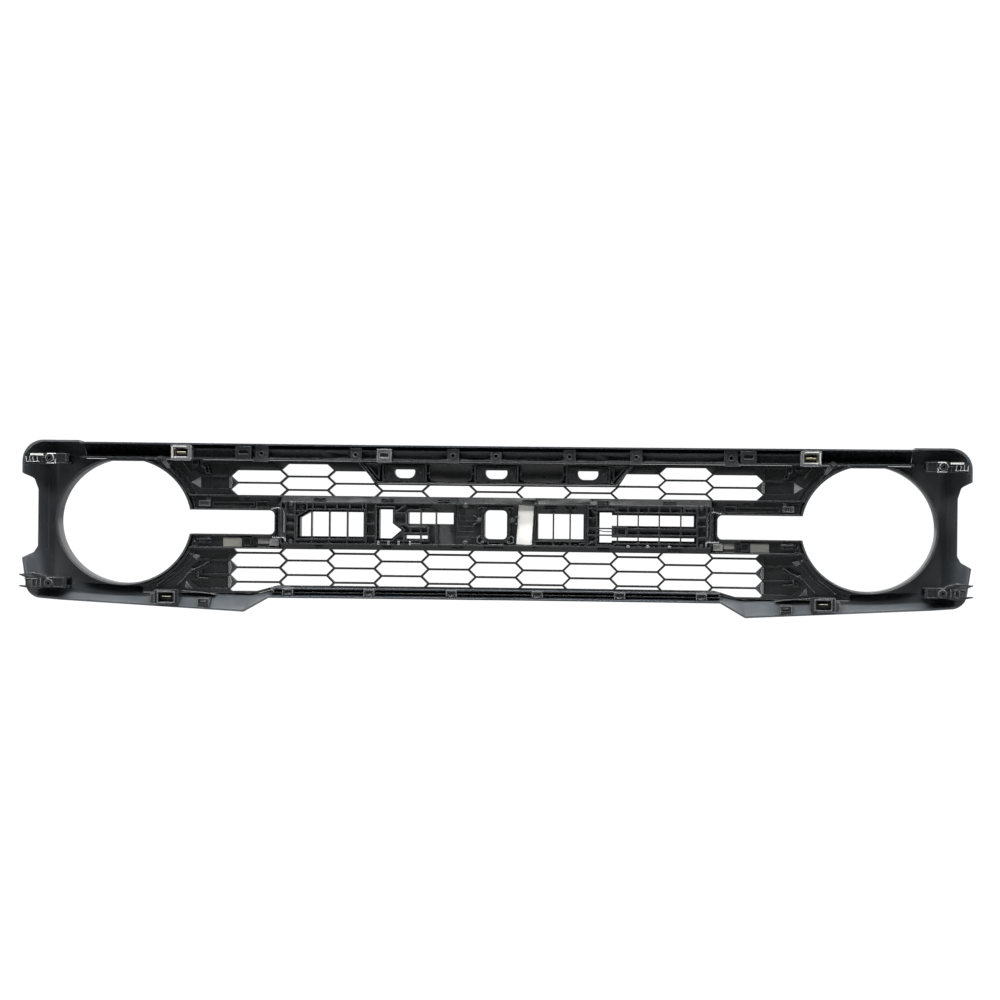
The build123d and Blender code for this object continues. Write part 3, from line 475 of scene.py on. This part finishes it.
def arm_trays(shape):
    """Long tray and boxes on the arm above the slot."""
    wall(shape, [(461, 24.4), (461, 32.2), (395, 32.2), (395, 24.4)], 1.2, ARM_INSIDE, 31, closed=True)
    wall(shape, [(461, 27.0), (430, 27.0), (395, 27.0)], 1.0, ARM_INSIDE, 28)
    cup(shape, (371.5, 391.5, 23.5, 34.5), ARM_INSIDE, 33, 1.4, 26)
    wall(shape, [(495, 39.5), (480, 38.5)], 1.2, ARM_INSIDE, 31)
    block(shape, (402, 412, 33.5, 37.5), ARM_INSIDE, 29)
    wall(shape, [(491, 24), (494, 40)], 1.3, ARM_INSIDE, 33)


def arm_boxes(shape):
    """Toothed box near the lamp, above the slot."""
    cup(shape, (465.5, 484.0, 25.5, 35.0), ARM_INSIDE, 35, 1.2, 27)
    for x in (469, 473, 477, 481):
        block(shape, (x - 0.7, x + 0.7, 26.5, 34.0), 26, 33.5)
    block(shape, (466, 472, 35, 40), ARM_INSIDE, 31)


def arm_clips(shape):
    """Barrel clip and open boxes on the arm below the slot."""
    cup(shape, (463.5, 487.0, -34.5, -23.5), ARM_INSIDE, 33, 1.4, 27)
    rod(shape, [swept(x, -28.0, 34.0) for x in (463, 469, 475, 481, 487)], [1.6, 2.4, 2.4, 2.4, 1.6])
    for x in (468, 474.5, 481):
        wall(shape, [(x, -33.5), (x, -24.5)], 1.2, 27, 34)
    cup(shape, (399.0, 413.0, -39.0, -25.0), ARM_INSIDE, 32, 1.5, 25)
    wall(shape, [(491, -24), (494, -39), (486, -39)], 1.3, ARM_INSIDE, 33)
    wall(shape, [(447, -41.0), (430, -41.2), (414, -41.0)], 1.0, ARM_INSIDE, 33)
    block(shape, (390.5, 396.5, -38.5, -27), ARM_INSIDE, 30)
    rod(shape, [swept(488, -37, 30), swept(490, -33, 34), swept(492, -29, 32)], [1.3, 1.6, 1.0])


def arm_stickers(shape):
    """Small plate with a raised grid beside the foam pad."""
    block(shape, (371.8, 388.5, -35.2, -26.4), 23.8, 25.2)
    for column in range(4):
        for row in range(2):
            x = 374.2 + 3.95 * column
            z = -34.0 + 4.1 * row
            block(shape, (x, x + 2.7, z, z + 2.6), 25.0, 25.9)


def slot_hooks(shape):
    """Hook bar and latch at the inner end of each slot, with their pale tone a painted highlight."""
    bar = [(363.8, -24.6), (353.5, -24.6), (345.5, -24.6), (342.8, -26.2), (342.8, -31.0)]
    latch = [(366.0, 21.6), (356.0, 24.4), (347.5, 22.4), (344.8, 16.0), (344.8, -16.0)]
    wall(shape, bar, 1.5, 36, 43.5)
    wall(shape, latch, 1.3, 36, 41.0)


# Pieces given edge_plastic or facet_plastic are black parts whose pale tone is a painted highlight.
pair("mesh_end_facets", mesh_end_facets, "edge_plastic", "mesh_plastic")
pair("mesh_end_edges", mesh_end_edges, "facet_plastic", "mesh_plastic")
pair("blind_cell_facets", blind_cell_facets, "facet_plastic", "mesh_plastic")
pair("mesh_hooks_upper", mesh_hooks_upper, "gloss_plastic", "mesh_plastic")
pair("mesh_hooks_lower", mesh_hooks_lower, "gloss_plastic", "mesh_plastic")
pair("end_ribs", end_ribs, "edge_plastic", "mesh_plastic")
pair("ring_feet", ring_feet, "edge_plastic", "ring_plastic")
pair("arm_trays", arm_trays, "gloss_plastic", "black_plastic")
pair("arm_boxes", arm_boxes, "edge_plastic", "black_plastic")
pair("arm_clips", arm_clips, "gloss_plastic", "black_plastic")
pair("arm_stickers", arm_stickers, "light_pad", "light_pad", 0.1)
pair("slot_hooks", slot_hooks, "facet_plastic", "black_plastic")


# Carrier of the centre bar.

RIB_REAR = 42.0
POST_REAR = RIB_REAR + 0.8
CARRIER_INSIDE = 26.5
PLATE_INSIDE = 26.6


def carrier_posts(shape):
    """Row of small posts and pegs along the carrier's lower wall."""
    for x in (191.0, 174.5, 157.8, 139.1):
        block(shape, (x - 1.6, x + 1.6, -34.6, -28.6), CARRIER_INSIDE, POST_REAR)
    block(shape, (123.5, 136.5, -34.3, -31.0), CARRIER_INSIDE, 40)
    for x in (-216.4, -248.7, -283.6):
        block(shape, (x - 2.2, x + 2.2, -34.4, -31.2), CARRIER_INSIDE, POST_REAR)
        rod(shape, [swept(x, -30.6, 27), swept(x, -30.6, 40)], [1.3, 1.1])


def carrier_boxes(shape):
    """Clip boxes and slot housings on the carrier plate."""
    cup(shape, (306.5, 328.5, 19.0, 33.0), CARRIER_INSIDE, 44.5, 1.8, 30)
    block(shape, (314, 320, 22, 30), 30, 42)
    cup(shape, (-327.5, -306.8, 21.6, 30.6), CARRIER_INSIDE, 43.5, 1.8, 30)
    block(shape, (-320, -314, 23.5, 29), 30, 41)
    cup(shape, (105.0, 125.0, 24.4, 30.4), CARRIER_INSIDE, 36, 1.4, 27.6)
    cup(shape, (-99.5, -79.0, 24.6, 30.4), CARRIER_INSIDE, 34, 1.4, 27.6)
    cup(shape, (-121.0, -112.5, 25.0, 33.0), CARRIER_INSIDE, 36, 1.3, 28)
    cup(shape, (-131.0, -122.5, 25.0, 33.0), CARRIER_INSIDE, 36, 1.3, 28)
    cup(shape, (-214.0, -191.5, -17.3, -0.8), CARRIER_INSIDE, 44.0, 2.0, 30)
    wall(shape, [(-191.5, -9), (-178, -9), (-168, -7)], 1.6, 30, 41)
    block(shape, (-133.0, -128.5, -35.5, -30.0), CARRIER_INSIDE, 35)
    block(shape, (-115.5, -111.0, -35.5, -30.0), CARRIER_INSIDE, 35)
    cup(shape, (-148.5, -136.5, -36.5, -28.5), CARRIER_INSIDE, 37, 1.4, 29)
    cup(shape, (86.0, 93.5, -37.0, -31.5), CARRIER_INSIDE, 34, 1.2, 28)
    cup(shape, (-66.0, -58.5, -37.5, -31.0), CARRIER_INSIDE, 34, 1.2, 28)
    wall(shape, [(-44, 36.0), (-44, 41.0), (-66, 41.0), (-66, 36.0)], 1.2, 30.5, 35)
    wall(shape, [(20, -33.5), (20, -38.5), (-14, -38.5), (-14, -33.5)], 1.3, CARRIER_INSIDE, 34)


def ledge_slots(shape):
    """Catch slots in the two long ledges."""
    for low, high in ((278, 298), (167, 188), (75, 95), (-185, -165), (-294, -272)):
        cup(shape, (low, high, 36.2, 41.2), 30.5, 34.2, 1.1, 31.3)
        block(shape, (low + 5, high - 5, 38.0, 39.2), 31.2, 33.4)
    for low, high in ((282, 295), (169, 186), (53, 71), (-185, -166), (-303, -280)):
        cup(shape, (low, high, -42.6, -37.8), 30.5, 34.2, 1.1, 31.3)
        block(shape, (low + 4, high - 4, -40.8, -39.6), 31.2, 33.4)


def plate_ribs(shape):
    """Low flow ribs on the plain parts of the carrier plate."""
    for z in (14.0, 5.5, -3.0, -12.0, -21.0):
        wall(shape, [(63.0, z), (46.0, z), (33.5, z)], 0.9, PLATE_INSIDE, 28.0)
    wall(shape, [(63.5, 30), (63.5, -33)], 1.2, PLATE_INSIDE, 30.5)
    wall(shape, [(-31.5, 26), (-31.5, 15)], 1.0, PLATE_INSIDE, 30.5)
    wall(shape, [(33.5, 30.5), (40.0, 25.0), (63.0, 25.0)], 1.0, PLATE_INSIDE, 29.5)
    wall(shape, [(-64.5, 30), (-64.5, -33)], 1.2, PLATE_INSIDE, 30.5)
    wall(shape, [(-147.5, 30), (-147.5, -26)], 1.2, PLATE_INSIDE, 36)
    wall(shape, [(-147.5, -26), (-100, -26), (-66, -26)], 1.2, PLATE_INSIDE, 36)


def camera_hooks(shape):
    """Screw collars, latch hooks and radial ribs round the camera opening."""
    for side in (1, -1):
        x = side * 27.3
        collar(shape, x, 7.5, 3.1, 1.55, 34, 38.2)
        wall(shape, [(x + side * 4.5, 12.5), (x + side * 9.5, 15.5)], 1.3, PLATE_INSIDE, 35)
        wall(shape, [(x + side * 4.5, 2.5), (x + side * 9.5, -0.5)], 1.3, PLATE_INSIDE, 35)
        latch = [(25.0, -18.5), (29.5, -21.0), (29.5, -29.0), (24.5, -31.0)]
        wall(shape, [(side * across, z) for across, z in latch], 1.4, PLATE_INSIDE, 37)
        wall(shape, [(side * 18.0, 25.5), (side * 22.5, 29.5), (side * 28.5, 26.5)], 1.4, PLATE_INSIDE, 36)
        block(shape, (side * 21.5 - 2.2, side * 21.5 + 2.2, -30.5, -26.5), 30, 38)
    wall(shape, [(12, -29.5), (12, -32.5), (-12, -32.5), (-12, -29.5)], 1.3, PLATE_INSIDE, 35)


# The posts in facet_plastic and the camera hooks in edge_plastic are black parts whose pale tone is a
# painted highlight.
single("carrier_posts", carrier_posts, "facet_plastic")
single("carrier_boxes", carrier_boxes, "gloss_plastic")
single("ledge_slots", ledge_slots, "gloss_plastic")
single("plate_ribs", plate_ribs, "gloss_plastic")
single("camera_hooks", camera_hooks, "edge_plastic")


# Bridge panel and top rail.

def bridge_panels(shape):
    """Rounded frames between the sensor pads, and small catches on the lower lip."""
    for low, high in ((40.0, 110.0), (-110.0, -40.0)):
        corners = [
            (low, 96), (low, 76), (low + 4, 71.5), (low + 10, 70), (high - 10, 70), (high - 4, 71.5),
            (high, 76), (high, 96),
        ]
        wall(shape, corners, 1.3, 7.6, 27)
        wall(shape, [(low, 83), (low - 3.4, 83)], 1.4, 7.6, 33)
        wall(shape, [(high, 83), (high + 3.4, 83)], 1.4, 7.6, 33)
    for x in (76.0, -88.0):
        cup(shape, (x - 8, x + 8, 66.2, 70.2), 24, 32, 1.0, 27)
    for x in (150.0, 0.0, -150.0):
        for side in (1, -1):
            collar(shape, x + side * 26.0, 83.0, 2.3, 1.0, 26.8, 29.2)
            wall(shape, [(x + side * 31, 73), (x + side * 31, 94)], 1.1, 26.8, 30)
        wall(shape, [(x - 15, 92.2), (x + 15, 92.2)], 1.2, 26.8, 29.6)


def bridge_struts(shape):
    """Diagonal double rib at each slanted end of the bridge."""
    wall(shape, [(224.5, 99.0), (212.0, 84.5), (198.5, 68.5)], 1.2, 24, 37)
    wall(shape, [(220.0, 99.0), (208.5, 85.5), (197.0, 72.0)], 1.0, 24, 35)
    wall(shape, [(214.0, 97.8), (189.0, 97.8)], 1.2, 24, 36)


# Hole centres of the nut plates along X, their height, and the half widths of the framed ones.
NUT_PLATES_X = (381.5, -381.5, 228.6, -228.6, 70.0, -120.0, 0.0)
NUT_PLATES_Z = 112.0
FRAMED_HALF_WIDTHS = (11.0, 11.0, 9.5, 9.5, 9.5, 9.5)


def nut_bushings(shape):
    """Pressed bushings round the holes of the nut plates."""
    for x in NUT_PLATES_X:
        collar(shape, x, NUT_PLATES_Z, 4.0, 2.9, 51.0, 53.0)


def nut_plate_folds(shape):
    """Folded side flanges and dark collars of the nut plates."""
    for x in NUT_PLATES_X:
        collar(shape, x, NUT_PLATES_Z, 6.6, 5.1, 49.0, 52.6)
    for x, half in zip(NUT_PLATES_X, FRAMED_HALF_WIDTHS):
        wall(shape, [(x - half + 1, 121.5), (x - half + 1, 105.5)], 1.2, 49, 52.2)
        wall(shape, [(x + half - 1, 121.5), (x + half - 1, 105.5)], 1.2, 49, 52.2)


single("bridge_panels", bridge_panels, "gloss_plastic")
# The struts are black; their pale tone in edge_plastic is a painted highlight.
pair("bridge_struts", bridge_struts, "edge_plastic", "black_plastic")
single("nut_bushings", nut_bushings, "zinc_screw", 0.15)
single("nut_plate_folds", nut_plate_folds, "gloss_plastic")


# Clips.

def upper_clip_lips(shape):
    """Pale lower lip and side cheeks inside the upper spring clips."""
    block(shape, (497.0, 519.6, 103.2, 105.4), 50, 67.2)
    wall(shape, [(495.5, 122.0), (521.0, 122.0)], 1.2, 60, 69.0)
    wall(shape, [(494.0, 121.0), (494.0, 103.0)], 1.2, 60, 69.0)
    wall(shape, [(522.6, 121.0), (522.6, 103.0)], 1.2, 60, 69.0)


def upper_clip_tongues(shape):
    """Side tongues of the upper clips' metal leaf."""
    for x in (498.3, 518.3):
        wall(shape, [(x - 1.3, 118.6), (x + 1.3, 118.6)], 1.0, 50, 66.5)
        wall(shape, [(x, 118.4), (x, 106.0)], 0.9, 50, 60.0)


def lower_clip_frames(shape):
    """Raised inner frame of the lower spring clips."""
    inner = [(516.5, -131.2), (543.5, -131.2), (543.5, -113.8), (516.5, -113.8)]
    outer = [(511.4, -133.4), (548.6, -133.4), (548.6, -111.8), (511.4, -111.8)]
    wall(shape, inner, 1.4, 66, 70.0, closed=True)
    wall(shape, outer, 1.0, 66, 69.0, closed=True)
    block(shape, (551.0, 556.5, -131.0, -117.0), 45, 58)


def snap_clip_edges(shape):
    """Rounded catch edges on the small snap clips."""
    rim = [(400.0, 106.5), (400.0, 119.5), (418.0, 119.5), (418.0, 106.5)]
    wall(shape, rim, 1.2, 55, 59.5, closed=True)
    block(shape, (404, 414, 108.8, 110.8), 50, 58.5)


def chin_clip_edges(shape):
    """Catch frame of the chin clips."""
    wall(shape, [(462.0, -137.5), (462.0, -125.0), (480.0, -125.0), (480.0, -137.5)], 1.2, 55, 63.4)
    block(shape, (466.5, 475.5, -130.0, -128.2), 54, 62.8)


def u_clip_edges(shape):
    """Folded lips of the U clip."""
    wall(shape, [(170.5, 101.5), (170.5, 119.8), (191.5, 119.8), (191.5, 101.5)], 1.3, 56, 63.0)
    block(shape, (175.5, 186.5, 104.5, 106.5), 54, 63.0)


def rail_clip_caps(shape):
    """Stepped caps of the bottom rail's clips."""
    for x in (70.0, 204.0, 336.0, -70.0, -204.0, -336.0):
        wall(shape, [(x - 8, -117.5), (x - 8, -108.2), (x + 8, -108.2), (x + 8, -117.5)], 1.1, 50, 57.2)
        block(shape, (x - 4, x + 4, -117.8, -116.2), 50, 57.0)


pair("upper_clip_lips", upper_clip_lips, "cream_plastic", "light_clip_plastic")
pair("upper_clip_tongues", upper_clip_tongues, "spring_steel", "spring_steel", 0.15)
# These clip frames, edges and caps are black; their pale tone in edge_plastic is a painted highlight.
pair("lower_clip_frames", lower_clip_frames, "edge_plastic", "black_plastic")
pair("snap_clip_edges", snap_clip_edges, "edge_plastic", "black_plastic")
pair("chin_clip_edges", chin_clip_edges, "edge_plastic", "black_plastic")
single("u_clip_edges", u_clip_edges, "edge_plastic")
single("rail_clip_caps", rail_clip_caps, "edge_plastic")


# Corner brackets. Their rear faces are flat planes 5 mm in front of the fixing plane, and the
# raised pieces start inside them.

BRACKET_SUNK = -6.0
TUBE_Y = -6.5
PRONG_Y = -7.0


def upper_bracket_block(shape):
    """Raised frame, arm and fins on the upper corner bracket."""
    frame_path = [(690.2, 92.8), (705.0, 92.8), (705.0, 107.2), (690.2, 107.2)]
    wall(shape, frame_path, 1.3, BRACKET_SUNK, -2.8, level_with, closed=True)
    wall(shape, [(722.0, 92.5), (722.0, 101.0), (735.0, 101.0)], 1.3, BRACKET_SUNK, -2.6, level_with)
    wall(shape, [(728.0, 92.5), (728.0, 101.0)], 1.0, BRACKET_SUNK, -3.0, level_with)


def upper_bracket_painted_highlights(shape):
    """Rims of the upper corner bracket, with their pale tone a painted highlight."""
    block(shape, (706.5, 720.0, 107.0, 108.3), BRACKET_SUNK, -2.0, level_with)
    wall(shape, [(706.2, 92.0), (707.6, 95.0), (706.6, 98.8)], 1.1, BRACKET_SUNK, -2.4, level_with)
    block(shape, (709.0, 721.0, 91.8, 93.4), BRACKET_SUNK, -2.4, level_with)
    block(shape, (726.7, 747.5, 104.6, 107.4), BRACKET_SUNK, -1.6, level_with)


def upper_bracket_fins(shape):
    """Boss ring, fins and lower line of the upper corner bracket."""
    collar(shape, 716.0, 101.0, 7.1, 5.9, BRACKET_SUNK, -1.6, level_with)
    for x in (735.6, 742.6, 747.6, 753.8):
        wall(shape, [(x, 95.2), (x + 0.8, 102.6)], 1.1, BRACKET_SUNK, -2.2, level_with)
    wall(shape, [(733.5, 94.6), (755.0, 94.6)], 1.1, BRACKET_SUNK, -2.2, level_with)


def lower_bracket_block(shape):
    """Raised frame, tube arm and thick prong of the lower corner bracket."""
    frame_path = [(692.0, -92.8), (708.0, -92.8), (708.0, -107.2), (692.0, -107.2)]
    wall(shape, frame_path, 1.3, BRACKET_SUNK, -2.8, level_with, closed=True)
    tube = ((720.0, -92.5), (728.0, -89.5), (738.0, -87.0), (744.5, -86.2))
    rod(shape, [level_with(x, z, TUBE_Y) for x, z in tube], [3.4, 4.0, 3.6, 2.6])
    spike = ((743.5, -86.2), (752.0, -86.6), (763.5, -87.6))
    rod(shape, [level_with(x, z, PRONG_Y) for x, z in spike], [1.7, 1.3, 0.6])
    prong = ((726.0, -108.6), (736.0, -108.8), (748.0, -107.6), (761.0, -105.6))
    rod(shape, [level_with(x, z, PRONG_Y) for x, z in prong], [1.4, 3.0, 2.4, 0.7])


def lower_bracket_painted_highlights(shape):
    """Rims of the lower corner bracket, with their pale tone a painted highlight."""
    collar(shape, 716.0, -101.0, 7.1, 5.8, BRACKET_SUNK, -1.6, level_with)
    wall(shape, [(729.0, -93.0), (729.0, -107.5)], 1.3, BRACKET_SUNK, -2.0, level_with)
    wall(shape, [(706.5, -92.2), (720.0, -92.2)], 1.2, BRACKET_SUNK, -2.4, level_with)
    wall(shape, [(733.5, -94.4), (755.0, -94.4)], 1.1, BRACKET_SUNK, -2.4, level_with)
    for x in (735.6, 742.8, 753.0):
        wall(shape, [(x, -105.5), (x, -96.0)], 1.1, BRACKET_SUNK, -2.4, level_with)


# The brackets are black; the pale rims and fins are a painted highlight.
pair("upper_bracket_block", upper_bracket_block, "gloss_plastic", "black_plastic")
pair("upper_bracket_painted_highlights", upper_bracket_painted_highlights, "cream_plastic", "light_clip_plastic")
pair("upper_bracket_fins", upper_bracket_fins, "facet_plastic", "black_plastic")
pair("lower_bracket_block", lower_bracket_block, "gloss_plastic", "black_plastic")
pair("lower_bracket_painted_highlights", lower_bracket_painted_highlights, "edge_plastic", "black_plastic")


# ---------------------------------------------------------------- stage, lights and camera

FLOOR_GAP = 0.5 * MM
FLOOR_HALF = 14.0
FLOOR_TONE = 0.14
BACKDROP_LEVEL = 1.05

floor_mesh = bpy.data.meshes.new("floor")
shape = bmesh.new()
bmesh.ops.create_grid(shape, x_segments=8, y_segments=8, size=FLOOR_HALF)
shape.to_mesh(floor_mesh)
shape.free()
floor = bpy.data.objects.new("floor", floor_mesh)
floor.location.z = CAD_BOX[0].z - FLOOR_GAP
SCENE.collection.objects.link(floor)
floor_paint, floor_tree, floor_shader = new_material("pale_floor")
floor_shader.inputs["Base Color"].default_value = (FLOOR_TONE, FLOOR_TONE, FLOOR_TONE, 1)
floor_shader.inputs["Roughness"].default_value = 0.9
floor_glow = add(floor_tree, "Emission", Strength=BACKDROP_LEVEL)
floor_ray = add(floor_tree, "LightPath")
floor_mix = add(floor_tree, "MixShader")
link(floor_tree, floor_ray, "Is Camera Ray", floor_mix, "Fac")
floor_tree.links.new(floor_shader.outputs[0], floor_mix.inputs[1])
floor_tree.links.new(floor_glow.outputs[0], floor_mix.inputs[2])
floor_tree.links.new(floor_mix.outputs[0], floor_tree.nodes["Material Output"].inputs["Surface"])
floor.data.materials.append(floor_paint)

# The world is dim behind the grille and bright in front, and the camera sees it near white.
# It changes between two values of the view direction's Y.
REAR_LIGHT = 0.07
FRONT_LIGHT = 1.1
REAR_FROM = 0.1
FRONT_FROM = -0.75

world = bpy.data.worlds.new("studio")
SCENE.world = world
world.use_nodes = True
world_tree = world.node_tree
background = world_tree.nodes["Background"]
background.inputs["Color"].default_value = (1, 1, 1, 1)
facing = add(world_tree, "TexCoord")
split = add(world_tree, "SeparateXYZ")
link(world_tree, facing, "Generated", split, "Vector")
lit = add(world_tree, "MapRange", **{"From Min": REAR_FROM, "From Max": FRONT_FROM})
lit.inputs["To Min"].default_value = REAR_LIGHT
lit.inputs["To Max"].default_value = FRONT_LIGHT
link(world_tree, split, "Y", lit, "Value")
ray = add(world_tree, "LightPath")
level = add(world_tree, "MapRange", **{"To Max": BACKDROP_LEVEL})
link(world_tree, ray, "Is Camera Ray", level, "Value")
link(world_tree, lit, "Result", level, "To Min")
link(world_tree, level, "Result", background, "Strength")


def softbox(name, place, target, width, height, power):
    """A rectangular soft light at a place, facing a target."""
    data = bpy.data.lights.new(name, "AREA")
    data.shape = "RECTANGLE"
    data.size = width
    data.size_y = height
    data.energy = power
    lamp = bpy.data.objects.new(name, data)
    lamp.location = place
    lamp.rotation_mode = "QUATERNION"
    lamp.rotation_quaternion = (Vector(target) - Vector(place)).to_track_quat("-Z", "Y")
    SCENE.collection.objects.link(lamp)


# Near the middle of the grille's depth, where the lights and the camera aim.
MID_Y = -0.07

# Each light: place, aim, width and height in metres, power in watts.
softbox("overhead", (0, 0.3, 1.9), (0, MID_Y, 0), 3.8, 1.1, 260)
softbox("overhead_rear", (0.3, 2.6, 1.9), (0, MID_Y, 0), 3.4, 0.7, 72)
softbox("left_side", (2.8, 1.0, 0.4), (0.5, MID_Y, 0), 0.4, 1.6, 14)
softbox("right_side", (-2.8, 1.0, 0.4), (-0.5, MID_Y, 0), 0.4, 1.6, 14)

# The photograph's view: nearly square on from behind, turned and tilted a little.
DISTANCE = 4.5
MM_PER_PIXEL = 1.62294
YAW = math.radians(2.966)
ROLL = math.radians(0.6213)
AIM = Vector((-0.00825, MID_Y, 0.0406))
SENSOR = 36.0
IMAGE_PIXELS = 1000

camera_data = bpy.data.cameras.new("camera")
camera_data.sensor_width = SENSOR
camera_data.lens = SENSOR * DISTANCE / (MM_PER_PIXEL * IMAGE_PIXELS * MM)
camera_data.clip_start = 0.1
camera_data.clip_end = 100
camera = bpy.data.objects.new("camera", camera_data)
away = Vector((-math.sin(YAW), math.cos(YAW), 0.0))
camera.location = AIM + away * DISTANCE
look = (-away).to_track_quat("-Z", "Y").to_matrix().to_4x4() @ Matrix.Rotation(ROLL, 4, "Z")
camera.rotation_euler = look.to_euler()
SCENE.collection.objects.link(camera)
SCENE.camera = camera
SCENE.view_settings.view_transform = "Standard"
